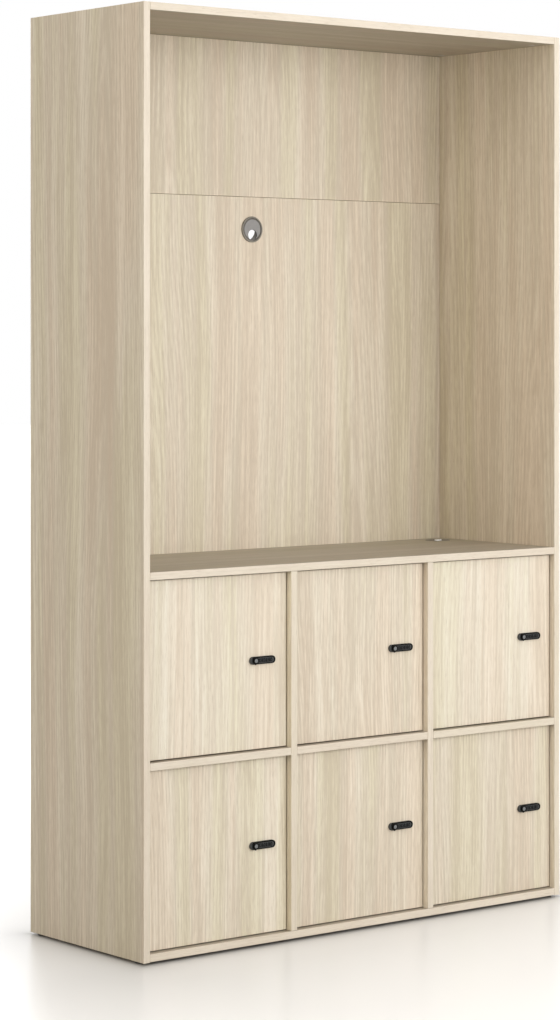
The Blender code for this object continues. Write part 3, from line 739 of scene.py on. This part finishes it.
class CABINET_OT_boards(bpy.types.Operator):
    """Make the laminated boards of the carcass, with banded edges"""

    bl_idname = "cabinet.boards"
    bl_label = "Carcass boards"

    def execute(self, context):
        for number, (name, axes) in enumerate(BOARDS.items()):
            low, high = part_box(name)
            cutters = cam_slots(name, low.x)
            if name == "lower_back_panel":
                hole = rod(GROMMET_BORE, low.y - high.y - OVERSHOOT, OVERSHOOT, ROUND_STEPS)
                cutters.append(moved(hole, joint_place("grommet_cap_turn")))
            shape = board_shape(low, high, axes, cutters)
            # The top's upper face keeps the laminate without painted shade.
            if name == "top_panel":
                for face in shape.faces:
                    if face.normal.z > 0.5:
                        face.material_index = OUTSIDE
            finishes = board_finishes(axes == SHELF_GRAIN)
            piece = add_piece(name + "_board", shape, finishes, "carcass", "laminate", name)
            lay_grain(piece, axes, GRAIN_STEP * BACK_LEAVES.get(name, number + 1))
        return {"FINISHED"}


def cup_place(locker, end):
    """Return the frame of a hinge cup in the back of its door: x right, y down, z towards the back."""
    door_low, door_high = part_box(f"door_{locker}")
    arm_low, arm_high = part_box(f"hinge_arm_{locker}_{end}")
    return at(door_low.x + CUP_INSET, door_high.y, (arm_low.z + arm_high.z) / 2) @ FACING_BACK


def door_cutters(locker):
    """Return cutters for a door's hinge cups, lock barrel and dial seat."""
    low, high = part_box(f"door_{locker}")
    cutters = []
    for end in HINGE_ENDS:
        bore = rod(CUP_BORE, -CUP_BORE_DEPTH, OVERSHOOT, ROUND_STEPS)
        cutters.append(moved(bore, cup_place(locker, end)))
    place = lock_place(locker)
    dials_low, dials_high = dial_box(locker, place)
    slack = Vector((DIAL_SEAT_SLACK,) * 3)
    seat_top = Vector((dials_high.x, dials_high.y, OVERSHOOT))
    for cutter in (
        rod(BARREL_BORE, low.y - high.y - OVERSHOOT, OVERSHOOT),
        block(dials_low - slack, seat_top + slack),
        shaft_seat(dials_low, dials_high),
    ):
        cutters.append(moved(cutter, place))
    return cutters


class CABINET_OT_doors(bpy.types.Operator):
    """Make the locker doors, with banded edges and the bores of their hardware"""

    bl_idname = "cabinet.doors"
    bl_label = "Locker doors"

    def execute(self, context):
        for number, locker in enumerate(LOCKERS):
            name = f"door_{locker}"
            low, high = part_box(name)
            shape = board_shape(low, high, FACE_GRAIN, door_cutters(locker))
            piece = add_piece(name + "_leaf", shape, board_finishes(), name, "laminate", name)
            shift = GRAIN_STEP * (number + len(BOARDS) + 1)
            lay_grain(piece, FACE_GRAIN, shift, DOOR_PALENESS.get(locker, 0.0))
        return {"FINISHED"}


# Hinges
def cross_recess(half, slot, low, high):
    """Return cutters for a cross recess."""
    return [block((-x, -y, low), (x, y, high)) for x, y in ((half, slot), (slot, half))]


def cross_screw(diameter, height):
    """Return a screw's domed head with a cross recess, standing on the origin."""
    radius = diameter / 2
    head = turned([
        (0.0, height), (radius * 0.55, height * 0.94), (radius * 0.85, height * 0.75),
        (radius, height * 0.45), (radius, 0.0), (0.0, 0.0),
    ], SMALL_STEPS)
    return cut(head, *cross_recess(radius * 0.58, radius * 0.13, height * 0.55, height + OVERSHOOT))


def hinge_cup_shape(look):
    """Return a pressed cup with its flange and screws, facing up, with the door's back at the origin."""
    outer, depth, lip, bend = 0.0174, 0.0117, 0.001, 0.002
    flange, gap, screw_inset = lip * 0.85, 0.0002, 0.007
    inner, edge, floor = outer - look.cup_wall, outer + look.cup_lip, look.cup_wall - depth
    bowl = turned([
        (0.0, -depth), (outer - bend, -depth), (outer, bend - depth), (outer, SEAT), (edge, SEAT),
        (edge, lip - CHAMFER), (edge - CHAMFER, lip), (inner + CHAMFER, lip), (inner, lip - CHAMFER),
        (inner, 0.003 - depth), (inner - bend, floor), (0.0, floor),
    ])
    wings = middle_bar(look.wing_span, look.wing_width, SEAT, flange)
    wings = cut(wings, rod(2 * (edge - gap), -OVERSHOOT, lip + OVERSHOOT, ROUND_STEPS))
    shape = joined(bowl, moved(wings, POINTING_UP))
    reach = look.wing_span / 2 - screw_inset
    screw = cross_screw(diameter=0.0068, height=0.0011)
    return with_copies(shape, screw, [at(0.0, y, flange) for y in (-reach, reach)])


def hinge_arm_shape(low, high, door_back, look):
    """Return an arm on its mounting plate, with its knuckle in the cup of the door."""
    middle = (low.z + high.z) / 2
    plate, plate_width, plate_rounding, screw_inset = 0.0024, 0.012, 0.0006, 0.0065
    foot_half, foot_front, foot_rear = 0.0075, 0.014, 0.015
    half, neck, arm_rounding, neck_rounding = 0.0062, 0.0046, 0.0018, 0.0014
    knuckle_length, knuckle_play, cup_floor = 0.0078, 0.0004, 0.003
    groove_half, groove_depth, groove_front, groove_rear = 0.0042, 0.0008, 0.012, 0.003
    front, top, base = door_back + 0.003, low.x + 0.0118, high.y - 0.021
    groove_floor = top - groove_depth
    corner = (low.x + plate, front, middle - half)
    channel = block(corner, (top, high.y, middle + half), arm_rounding)
    bridge = block(corner, (high.x, front + neck, middle + half), neck_rounding)
    knuckle = block(
        (high.x - knuckle_length, low.y + cup_floor, middle - half + knuckle_play),
        (high.x, front + neck, middle + half - knuckle_play), neck_rounding,
    )
    groove = block(
        (groove_floor, front + groove_front, middle - groove_half),
        (top + OVERSHOOT, high.y - groove_rear, middle + groove_half),
    )
    arm = cut(fused(channel, bridge, knuckle), groove)
    wings = middle_bar(look.plate_span, plate_width, 0.0, plate)
    round_edges(wings, edges_above(wings, plate / 2), plate_rounding)
    moved(wings, at(low.x, base, middle) @ FACING_RIGHT)
    foot = block(
        (low.x, base - foot_front, middle - foot_half),
        (low.x + plate, base + foot_rear, middle + foot_half), plate_rounding,
    )
    shape = joined(arm, fused(wings, foot))
    reach = look.plate_span / 2 - screw_inset
    plate_seats = [at(low.x + plate, base, middle + side) @ FACING_RIGHT for side in (-reach, reach)]
    cam_seats = [at(groove_floor, high.y - setback, middle) @ FACING_RIGHT for setback in (0.009, 0.033)]
    with_copies(shape, cross_screw(diameter=0.0072, height=0.0014), plate_seats)
    return with_copies(shape, cross_screw(diameter=0.0074, height=0.0012), cam_seats)


class CABINET_OT_hinges(bpy.types.Operator):
    """Make the hidden hinges: cups in the doors, arms and mounting plates on the boards"""

    bl_idname = "cabinet.hinges"
    bl_label = "Hidden hinges"

    def execute(self, context):
        look = context.scene.cabinet_hinges
        steel = [metal_finish("plated_steel", look.steel, 0.27, (900.0, 900.0, 60.0))]
        cup = hinge_cup_shape(look)
        for locker in LOCKERS:
            door = f"door_{locker}"
            for end in HINGE_ENDS:
                name = f"hinge_arm_{locker}_{end}"
                arm = hinge_arm_shape(*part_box(name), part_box(door)[1].y, look)
                add_piece(f"hinge_{locker}_{end}", arm, steel, "carcass", "hinge_steel", name)
                seated = copied(cup, cup_place(locker, end))
                add_piece(f"hinge_cup_{locker}_{end}", seated, steel, door, "hinge_steel")
        cup.free()
        return {"FINISHED"}


# Locks
def hex_nut(width, low, high, bore):
    """Return a flat six-sided nut about the z axis."""
    nut = rod(width, low, high, 6)
    level = [edge for edge in nut.edges if abs(edge.verts[0].co.z - edge.verts[1].co.z) < SEAT]
    round_edges(nut, level, CHAMFER)
    return cut(nut, rod(bore, low - OVERSHOOT, high + OVERSHOOT))


def lock_housing_shape(low, high, dials, barrel_end, look):
    """Return a housing: a raised rim round an inset panel, windows over the dials, and a threaded barrel."""
    height, span, rim = high.y - low.y, high.x - low.x, look.rim_width
    aside = at(low.x + height / 2)
    shell = moved(bar(span, height, low.z, high.z), aside)
    round_edges(shell, edges_above(shell, high.z - SEAT), look.rim_radius, 4)
    panel_floor = high.z - look.panel_depth
    panel_span = span - 2 * rim - look.broad_end
    inset = moved(bar(panel_span, height - 2 * rim, panel_floor, high.z + OVERSHOOT), aside)
    dials_low, dials_high = dials
    slack, web = 0.0005, 0.0006
    ceiling = panel_floor - web
    pocket = block(
        (dials_low.x - slack, dials_low.y - slack, low.z - OVERSHOOT),
        (dials_high.x + slack, dials_high.y + slack, ceiling),
    )
    bore = SPINDLE_RADIUS + SPINDLE_SLACK
    spindle_hole = rod(2 * bore, low.z - OVERSHOOT, high.z + OVERSHOOT)
    windows = dial_windows(dials_low, dials_high, ceiling, look)
    shell = cut(shell, coloured(inset, 1), pocket, shaft_seat(*dials), spindle_hole, *windows)
    # Painted highlight: faces of the rounded end at the knob take the grey panel finish.
    for face in shell.faces:
        if face.calc_center_median().x < look.grey_end:
            face.material_index = 1
    return joined(shell, barrel_shape(barrel_end, low.z, bore))


def shaft_seat(dials_low, dials_high):
    """Return a cutter for the room around the shaft of the dials."""
    room = Vector((DIAL_SHAFT_END, DIAL_SHAFT_RADIUS, DIAL_SHAFT_RADIUS)) + Vector((DIAL_SLACK,) * 3)
    room.x += (dials_high.x - dials_low.x) / 2
    middle = (dials_low + dials_high) / 2
    return block(middle - room, middle + room)


def dial_windows(dials_low, dials_high, floor, look):
    """Return cutters for the openings over the dials."""
    half, corner = look.window_height / 2, 0.0006
    windows = []
    for number in range(DIAL_COUNT):
        left = dials_low.x + number * dial_pitch(dials_low, dials_high) - DIAL_SLACK
        right = left + DIAL_WIDTH + 2 * DIAL_SLACK
        windows.append(block((left, -half, floor - OVERSHOOT), (right, half, 2 * half), corner, 2))
    return windows


def dial_pitch(low, high):
    """Return the distance from one dial to the next."""
    return (high.x - low.x - DIAL_WIDTH) / (DIAL_COUNT - 1)


def barrel_shape(end, top, bore):
    """Return a lock's bored barrel with rings of thread."""
    radius, pitch, depth = 0.00725, 0.0014, 0.0004
    profile = [(bore, end), (radius - depth, end)]
    for turn in range(int((top - end) / pitch) - 1):
        height = end + turn * pitch
        profile += [(radius - depth, height + 0.2 * pitch), (radius, height + 0.6 * pitch)]
    profile += [(radius, top), (bore, top), (bore, end)]
    return turned(profile, SMALL_STEPS)


class CABINET_OT_locks(bpy.types.Operator):
    """Make the lock housings with their face panels, dial windows, barrels and nuts"""

    bl_idname = "cabinet.locks"
    bl_label = "Lock housings"

    def execute(self, context):
        look = context.scene.cabinet_locks
        metal = moulded_finish("lock_black", look.metal, 0.5, 2600.0, 0.1, 0.06)
        panel = moulded_finish("lock_panel", look.panel, 0.5, 3400.0, 0.2, 0.25)
        nickel = metal_finish("lock_nut", look.cam, 0.3, (700.0, 700.0, 90.0))
        nut_width, nut_bore, nut_height = 0.0215, 0.0147, 0.0017
        for locker in LOCKERS:
            place = lock_place(locker)
            name, door = f"lock_housing_{locker}", f"door_{locker}"
            low, high = local_box(name, place)
            plate_low = Vector((low.x, low.y, SEAT))
            housing = lock_housing_shape(plate_low, high, dial_box(locker, place), low.z, look)
            add_piece(name + "_case", moved(housing, place), [metal, panel], door, "lock_metal", name)
            door_low, door_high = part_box(door)
            back = door_low.y - door_high.y
            nut = hex_nut(nut_width, back - nut_height, back - SEAT, nut_bore)
            add_piece(f"lock_nut_{locker}", moved(nut, place), [nickel], door, "cam_steel")
        return {"FINISHED"}


# Number dials
def dial_box(locker, place):
    """Return the corners of the dials of a lock, without the ends of their shaft."""
    low, high = local_box(f"dial_set_{locker}", place)
    low.x += DIAL_SHAFT_END
    high.x -= DIAL_SHAFT_END
    return low, high


def dial_wheel(radius):
    """Return a dial about the z axis, with rounded rims and a notch between each pair of numbers."""
    rim, bore, notch_width, notch_lift = 0.0005, 0.0015, 0.0011, 0.0002
    half = DIAL_WIDTH / 2
    wheel = turned([
        (bore, half), (radius - rim, half), (radius - 0.3 * rim, half - 0.3 * rim), (radius, half - rim),
        (radius, rim - half), (radius - 0.3 * rim, 0.3 * rim - half), (radius - rim, -half), (bore, -half),
        (bore, half),
    ], WHEEL_STEPS)
    notch = moved(rod(notch_width, -DIAL_WIDTH, DIAL_WIDTH, COARSE_STEPS), at(radius + notch_lift))
    return cut(wheel, *copies_around(notch, DIGIT_COUNT, 0.5))


def digit_cutter(number, radius):
    """Return a cutter for a number that is engraved in the rim of a dial, whose axle lies along x."""
    words = bpy.data.curves.new("number", "FONT")
    words.body = str(number)
    words.size = DIGIT_HEIGHT * TYPE_SIZE
    words.align_x = "CENTER"
    words.align_y = "CENTER"
    words.extrude = DIGIT_DEPTH
    words.resolution_u = 4
    thing = add_object("number", words)
    shape = shape_of(thing)
    bpy.data.objects.remove(thing, do_unlink=True)
    bpy.data.curves.remove(words)
    bmesh.ops.remove_doubles(shape, verts=shape.verts, dist=4 * MERGE_DISTANCE)
    ends = [face for face in shape.faces if len({vert.co.z > 0.0 for vert in face.verts}) == 1]
    inner = [edge for edge in shape.edges if all(face in ends for face in edge.link_faces)]
    bmesh.ops.beautify_fill(shape, faces=ends, edges=inner)
    turn = Matrix.Rotation(FULL_TURN * number / DIGIT_COUNT, 4, "X")
    return coloured(moved(shape, turn @ at(0.0, 0.0, radius)), 1)


def dial_set_shape(low, high):
    """Return the dials of a lock about the middle of their shaft, which lies along x."""
    radius = (high.y - low.y) / 2
    wheel = moved(dial_wheel(radius), FACING_RIGHT)
    wheel = cut(wheel, *[digit_cutter(number, radius) for number in range(DIGIT_COUNT)])
    reach = (high.x - low.x) / 2 + DIAL_SHAFT_END
    shaft = moved(rod(2 * DIAL_SHAFT_RADIUS, -reach, reach), FACING_RIGHT)
    off_middle = [number - (DIAL_COUNT - 1) / 2 for number in range(DIAL_COUNT)]
    return with_copies(shaft, wheel, [at(steps * dial_pitch(low, high)) for steps in off_middle])


class CABINET_OT_dials(bpy.types.Operator):
    """Make the number dials of the locks on their shafts"""

    bl_idname = "cabinet.dials"
    bl_label = "Number dials"

    def execute(self, context):
        look = context.scene.cabinet_locks
        plastic = moulded_finish("dial_black", look.dial, 0.45, 3000.0, 0.1, 0.12)
        paint = moulded_finish("digit_paint", look.digits, 0.6, 2400.0, 0.1)
        shown = dial_set_shape(*dial_box(LOCKERS[0], lock_place(LOCKERS[0])))
        for locker in LOCKERS:
            name = f"dial_set_{locker}"
            wheels = copied(shown, joint_place(f"dials_{locker}_roll"))
            add_piece(name + "_wheels", wheels, [plastic, paint], f"dials_{locker}", "dial_plastic", name)
        shown.free()
        return {"FINISHED"}


# Knobs and cams
def knob_shape(low, high, look):
    """Return a fluted knob on its spindle, with a key cylinder in its face."""
    radius, top = high.x, high.z
    base = top - KNOB_HEIGHT
    edge, recess, depth, bend = 0.0008, 0.0046, 0.0009, 0.0002
    floor = top - depth
    grip = turned([
        (0.0, floor), (recess - bend, floor), (recess, floor + bend), (recess, top - CHAMFER),
        (recess + CHAMFER, top), (radius - edge, top), (radius - 0.3 * edge, top - 0.3 * edge),
        (radius, top - edge), (radius, base + CHAMFER), (radius - CHAMFER, base), (SPINDLE_RADIUS, base),
        (SPINDLE_RADIUS, low.z), (0.0, low.z),
    ])
    flute_width, flute_steps = 0.0012, 10
    flute = moved(rod(flute_width, base + edge, top + OVERSHOOT, flute_steps), at(radius + bend))
    pointer = pointer_shape(base + SEAT, base + 0.5 * KNOB_HEIGHT, recess, look)
    grip = fused(cut(grip, *copies_around(flute, look.flutes)), pointer)
    return joined(grip, key_cylinder(recess - CHAMFER, floor + SEAT, top - CHAMFER, look))


def pointer_shape(low, high, start, look):
    """Return a round-ended pointer that reaches down from a knob's side."""
    width, rounding = look.pointer_width, 0.0005
    pointer = bar(look.pointer_reach - start + width / 2, width, low, high, SMALL_STEPS)
    round_edges(pointer, edges_above(pointer, high - SEAT), rounding, 2)
    return moved(pointer, POINTING_DOWN @ at(start))


def key_cylinder(radius, low, high, look):
    """Return the face of a key cylinder, with a slot for the key."""
    face = turned([
        (0.0, high), (radius - CHAMFER, high), (radius, high - CHAMFER), (radius, low), (0.0, low),
    ], SMALL_STEPS)
    width = 0.0011
    opening = bar(look.key_slot, width, low + SEAT, high + OVERSHOOT, COARSE_STEPS)
    moved(opening, POINTING_UP @ at((width - look.key_slot) / 2))
    step = block((-width, -width, low + SEAT), (0.0, 0.0, high + OVERSHOOT))
    return coloured(cut(face, opening, step), 1)


def cam_shape(low, high):
    """Return a cam that hangs down from the knob's axis, with a pressed rib and a nut behind it."""
    width, reach = high.x - low.x, high.y - low.y
    bore, nut_width, nut_height, rib_depth = 0.0071, 0.0112, 0.0012, 0.0006
    plate = bar(reach, width, low.z, high.z, PLAIN_STEPS)
    round_edges(plate, plate.edges, CHAMFER, 2)
    rib_start, rib_span, rib_width, rib_steps = reach * 0.22, reach * 0.6, width * 0.3, 16
    rib = bar(rib_span, rib_width, low.z - OVERSHOOT, low.z + rib_depth, rib_steps)
    moved(rib, at(rib_start))
    hole = rod(bore, low.z - OVERSHOOT, high.z + OVERSHOOT)
    cam = moved(cut(plate, rib, hole), POINTING_DOWN)
    return joined(cam, hex_nut(nut_width, low.z - nut_height, low.z - SEAT, bore))


class CABINET_OT_knobs(bpy.types.Operator):
    """Make the knobs with their key cylinders, and the cams behind the doors"""

    bl_idname = "cabinet.knobs"
    bl_label = "Knobs and cams"

    def execute(self, context):
        look = context.scene.cabinet_locks
        black = moulded_finish("knob_black", look.metal, 0.45, 2200.0, 0.1, 0.06)
        nickel = metal_finish("key_nickel", look.key, 0.5, (1500.0, 120.0, 120.0), 0.25)
        zinc = metal_finish("cam_zinc", look.cam, 0.36, (1200.0, 1200.0, 50.0))
        place = lock_place(LOCKERS[0])
        knob = knob_shape(*local_box(f"knob_{LOCKERS[0]}", place), look)
        cam = cam_shape(*local_box(f"cam_{LOCKERS[0]}", place))
        for locker in LOCKERS:
            place = lock_place(locker)
            body = f"lock_{locker}"
            name = f"knob_{locker}"
            add_piece(name + "_grip", copied(knob, place), [black, nickel], body, "lock_metal", name)
            name = f"cam_{locker}"
            add_piece(name + "_plate", copied(cam, place), [zinc], body, "cam_steel", name)
        knob.free()
        cam.free()
        return {"FINISHED"}


# Cable grommets, connector caps and feet
def grommet_ring_shape(flange, proud, bore, tube_end):
    """Return a grommet's ring, facing up, with a ledge under its cap."""
    tube, ledge = flange - 0.00225, bore - 0.0017
    rounding, lip = 0.0011, 0.0005
    seat = proud - CAP_THICKNESS - CAP_CLEARANCE
    return turned([
        (bore, seat), (bore, proud - lip), (bore + lip, proud), (flange - rounding, proud),
        (flange - 0.3 * rounding, proud - 0.3 * rounding), (flange, proud - rounding), (flange, SEAT),
        (tube, SEAT), (tube, tube_end), (ledge, tube_end), (ledge, seat), (bore, seat),
    ], FINE_STEPS)


def grommet_cap_shape(radius, proud, groove):
    """Return a grommet's cap, facing up, with a sloping groove round its face."""
    depth, edge, bed = 0.0014, 0.0004, 0.0006
    face = radius - groove
    back = proud - CAP_THICKNESS
    cap = turned([
        (0.0, proud), (face - edge, proud), (face, proud - CHAMFER), (radius - bed, proud - depth),
        (radius, proud - depth), (radius, back), (0.0, back),
    ], FINE_STEPS)
    # The groove's faces take the darker finish: painted shade in the recess.
    for side in cap.faces:
        middle = side.calc_center_median()
        if middle.xy.length > face and middle.z > back:
            side.material_index = 2
    return cap


def cable_hole_cutter(proud):
    """Return a cutter for a cable hole with a chamfered mouth."""
    radius, bevel = CABLE_HOLE_RADIUS, 0.0004
    mouth, top, rim = radius + bevel, proud + OVERSHOOT, proud - CHAMFER
    hole = turned([
        (0.0, top), (mouth, top), (mouth, rim), (radius, rim - bevel), (radius, -CAP_THICKNESS),
        (0.0, -CAP_THICKNESS),
    ])
    # The hole's wall takes the cap's second finish, near black: painted shade.
    return coloured(moved(hole, at(0.0, -CABLE_HOLE_DROP)), 1)


def outlet_shape(flange, bore, cap_radius, look):
    """Return a shut, almost flush cable outlet, facing up, with a finger slot and a raised tab in its lid.
    The tab's pale colour is a painted highlight, and the gap and the slot are coloured dark as painted shade.
    """
    proud, depth, lift = look.outlet_height, 0.0005, 0.0024
    slot_span, slot_width, slot_place = 0.03, 0.009, at(-0.004, 0.008)
    tab_span, tab_width, tab_place = 0.019, 0.01, at(-0.011, -0.014)
    ring = turned([
        (bore, SEAT), (bore, proud), (flange - proud, proud), (flange, SEAT), (bore, SEAT),
    ], FINE_STEPS)
    lid = turned([
        (0.0, proud), (cap_radius - CHAMFER, proud), (cap_radius, proud - CHAMFER), (cap_radius, SEAT),
        (0.0, SEAT),
    ], FINE_STEPS)
    slot = moved(middle_bar(slot_span, slot_width, proud - depth, proud + OVERSHOOT, SMALL_STEPS), slot_place)
    # The tab stands up into the light; its pale finish is a painted highlight.
    tab = moved(middle_bar(tab_span, tab_width, proud + SEAT, proud + lift, SMALL_STEPS), tab_place)
    # The floor seen through the gap round the lid, and the finger slot, take the darker finish: painted
    # shade.
    floor = rod(2 * bore, 0.0, SEAT, FINE_STEPS)
    return joined(ring, coloured(floor, 1), cut(lid, coloured(slot, 1)), coloured(tab, 2))


class CABINET_OT_grommets(bpy.types.Operator):
    """Make the cable grommet of the back with its turning cap, and the shut cable outlet of the worktop"""

    bl_idname = "cabinet.grommets"
    bl_label = "Cable grommets"

    def execute(self, context):
        look = context.scene.cabinet_fittings
        ring_plastic = moulded_finish("grommet_ring_grey", look.ring, 0.6, 1500.0, 0.15, 0.2)
        cap_plastic = moulded_finish("grommet_cap_grey", look.grommet, 0.4, 1500.0)
        # Painted shade: the wall of the cap's cable hole is coloured near black, standing in for its shadow.
        lip = moulded_finish("hole_wall_painted_shade", look.rubber, 0.55, 1800.0)
        groove = moulded_finish("grommet_groove_painted_shade", look.groove, 0.5, 1500.0)
        tab = moulded_finish("outlet_tab", look.outlet_tab, 0.35, 1500.0)
        place = joint_place("grommet_cap_turn")
        low, high = local_box("grommet_ring", place)
        cap_radius = local_box("grommet_cap", place)[1].x
        bore = cap_radius + CAP_CLEARANCE
        ring = moved(grommet_ring_shape(high.x, high.z, bore, low.z), place)
        add_piece("grommet_ring_flange", ring, [ring_plastic], "carcass", "grommet_plastic", "grommet_ring")
        cap = cut(grommet_cap_shape(cap_radius, high.z, look.groove_width), cable_hole_cutter(high.z))
        finishes = [cap_plastic, lip, groove]
        add_piece(
            "grommet_cap_disc", moved(cap, place), finishes, "grommet_cap", "grommet_plastic", "grommet_cap"
        )
        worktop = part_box("worktop_shelf")[1]
        spot = at(worktop.x - look.outlet_side_distance, worktop.y - look.outlet_back_distance, worktop.z)
        outlet = moved(outlet_shape(high.x, bore, cap_radius, look), spot)
        add_piece("worktop_outlet", outlet, [ring_plastic, groove, tab], "carcass", "grommet_plastic")
        return {"FINISHED"}


def connector_cap_shape(diameter):
    """Return a pressed-in connector cap with a cross recess, facing up."""
    radius, height = diameter / 2, 0.0012
    cap = turned([
        (0.0, height), (radius * 0.7, height * 0.95), (radius * 0.92, height * 0.7), (radius, height * 0.25),
        (radius, SEAT), (0.0, SEAT),
    ], PLAIN_STEPS)
    return cut(cap, *cross_recess(radius * 0.42, radius * 0.11, height * 0.4, 2 * height))


class CABINET_OT_connectors(bpy.types.Operator):
    """Make the caps over the connectors under the top and the shelves"""

    bl_idname = "cabinet.connectors"
    bl_label = "Connector caps"

    def execute(self, context):
        look = context.scene.cabinet_fittings
        plastic = moulded_finish("connector_cap", look.cap, 0.45, 1400.0)
        cap = connector_cap_shape(look.cap_diameter)
        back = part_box("lower_back_panel")[0].y
        for name in CONNECTED_BOARDS:
            low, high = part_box(name)
            places = [
                at(x, y, low.z) @ FACING_DOWN
                for x in (low.x + look.cap_side_distance, high.x - look.cap_side_distance)
                for y in (low.y + look.cap_front_distance, back - look.cap_back_distance)
            ]
            group = with_copies(bmesh.new(), cap.copy(), places)
            add_piece(name + "_connector_caps", group, [plastic], "carcass", "grommet_plastic")
        cap.free()
        return {"FINISHED"}


def foot_shape(low, high):
    """Return a nail-in glide with a domed sole."""
    radius, height = (high.x - low.x) / 2, high.z - low.z
    dome = turned([
        (0.0, height), (radius * 0.9, height), (radius * 0.97, height * 0.93), (radius, height * 0.75),
        (radius * 0.96, height * 0.35), (radius * 0.8, height * 0.08), (radius * 0.6, 0.0), (0.0, 0.0),
    ], PLAIN_STEPS)
    middle = (low + high) / 2
    return moved(dome, at(middle.x, middle.y, low.z))


class CABINET_OT_feet(bpy.types.Operator):
    """Make the glides under the side panels"""

    bl_idname = "cabinet.feet"
    bl_label = "Feet"

    def execute(self, context):
        rubber = moulded_finish("foot_black", context.scene.cabinet_fittings.rubber, 0.6, 900.0)
        for name in FEET:
            add_piece(name + "_glide", foot_shape(*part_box(name)), [rubber], "carcass", "foot_rubber", name)
        return {"FINISHED"}


# Stage
def soft_light(name, place, aim, size, power, shade):
    light = bpy.data.lights.new(name, "AREA")
    light.shape = "RECTANGLE"
    light.size, light.size_y = size
    light.energy = power
    light.color = shade
    lamp = add_object(name, light)
    lamp.location = place
    lamp.rotation_euler = (Vector(aim) - Vector(place)).to_track_quat("-Z", "Y").to_euler()


def seen_directly(tree):
    """Return 1 for what the camera sees, directly or in a mirror or glass."""
    path = node(tree, "LightPath")
    mirrored = calc(tree, "MAXIMUM", path.outputs["Is Glossy Ray"], path.outputs["Is Transmission Ray"])
    return calc(tree, "MAXIMUM", path.outputs["Is Camera Ray"], mirrored)


def make_world(look):
    world = bpy.data.worlds.new("studio")
    world.use_nodes = True
    tree = world.node_tree
    tree.nodes.clear()
    sky = node(tree, "Background", {"Color": opaque(SKY_COLOUR), "Strength": look.sky})
    white = node(tree, "Background", {"Color": opaque(WHITE), "Strength": 1.0})
    mix = node(tree, "MixShader", {0: seen_directly(tree), 1: sky.outputs[0], 2: white.outputs[0]})
    node(tree, "OutputWorld", {"Surface": mix.outputs[0]})
    bpy.context.scene.world = world


def off_cabinet(tree):
    """Return how far a point of the floor lies outside the cabinet's footprint."""
    place = node(tree, "SeparateXYZ", {"Vector": own_place(tree)})
    squares = []
    for axis, low, high in zip("XY", *CAD_BOX):
        off_middle = calc(tree, "SUBTRACT", place.outputs[axis], (low + high) / 2)
        outside = calc(tree, "SUBTRACT", calc(tree, "ABSOLUTE", off_middle), (high - low) / 2)
        squares.append(calc(tree, "POWER", calc(tree, "MAXIMUM", outside, 0.0), 2.0))
    return calc(tree, "SQRT", calc(tree, "ADD", *squares))


def make_floor(look):
    shape = bmesh.new()
    bmesh.ops.create_grid(shape, x_segments=1, y_segments=1, size=look.floor_size / 2)
    mesh = mesh_of("floor", shape)
    made, tree, shader = new_finish("floor")
    away = off_cabinet(tree)
    # Painted contact shadow: the camera's white fades to nothing at the cabinet's footprint.
    contact = calc(tree, "DIVIDE", away, calc(tree, "ADD", away, look.contact))
    near, far = 0.15, 1.5
    # Painted shade: less white within 1.5 m of the cabinet than further away.
    white = graded(tree, away, near, far, look.floor_glow, look.far_glow)
    glow = calc(tree, "MULTIPLY", seen_directly(tree), calc(tree, "MULTIPLY", contact, white))
    fill(tree, shader, {
        "Base Color": opaque(look.floor_colour),
        "Roughness": look.floor_sheen,
        "Emission Color": opaque(WHITE),
        "Emission Strength": glow,
    })
    mesh.materials.append(made)
    floor = add_object("floor", mesh)


class CABINET_OT_stage(bpy.types.Operator):
    """Make the pale floor, the soft light and the camera"""

    bl_idname = "cabinet.stage"
    bl_label = "Stage"

    def execute(self, context):
        look = context.scene.cabinet_stage
        context.scene.view_settings.view_transform = "Standard"
        make_world(look)
        make_floor(look)
        for name, values in LAMPS.items():
            soft_light(name, *values)
        lens = bpy.data.cameras.new("camera")
        lens.lens = look.lens
        lens.shift_y = look.drop
        camera = add_object("camera", lens)
        camera.location = look.camera_place
        camera.rotation_euler = (QUARTER_TURN, 0.0, -look.camera_heading)
        context.scene.camera = camera
        return {"FINISHED"}


class CABINET_PT_panel(bpy.types.Panel):
    """Lists the steps that finish the cabinet"""

    bl_idname = "CABINET_PT_panel"
    bl_label = "Office cabinet"
    bl_space_type = "VIEW_3D"
    bl_region_type = "UI"
    bl_category = "Cabinet"

    def draw(self, context):
        for step in STEPS:
            self.layout.operator(step.bl_idname)


STEPS = (
    CABINET_OT_boards,
    CABINET_OT_doors,
    CABINET_OT_hinges,
    CABINET_OT_locks,
    CABINET_OT_dials,
    CABINET_OT_knobs,
    CABINET_OT_grommets,
    CABINET_OT_connectors,
    CABINET_OT_feet,
    CABINET_OT_stage,
)
SETTINGS = {
    "cabinet_laminate": CabinetLaminate,
    "cabinet_hinges": CabinetHinges,
    "cabinet_locks": CabinetLocks,
    "cabinet_fittings": CabinetFittings,
    "cabinet_stage": CabinetStage,
}
CLASSES = (*SETTINGS.values(), *STEPS, CABINET_PT_panel)


def register():
    for made in CLASSES:
        bpy.utils.register_class(made)
    for name, group in SETTINGS.items():
        setattr(bpy.types.Scene, name, PointerProperty(type=group))


def unregister():
    for name in SETTINGS:
        delattr(bpy.types.Scene, name)
    for made in reversed(CLASSES):
        bpy.utils.unregister_class(made)


def main():
    register()
    bpy.ops.cabinet.boards()
    bpy.ops.cabinet.doors()
    bpy.ops.cabinet.hinges()
    bpy.ops.cabinet.locks()
    bpy.ops.cabinet.dials()
    bpy.ops.cabinet.knobs()
    bpy.ops.cabinet.grommets()
    bpy.ops.cabinet.connectors()
    bpy.ops.cabinet.feet()
    bpy.ops.cabinet.stage()
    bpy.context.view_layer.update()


if __name__ == "__main__":
    main()
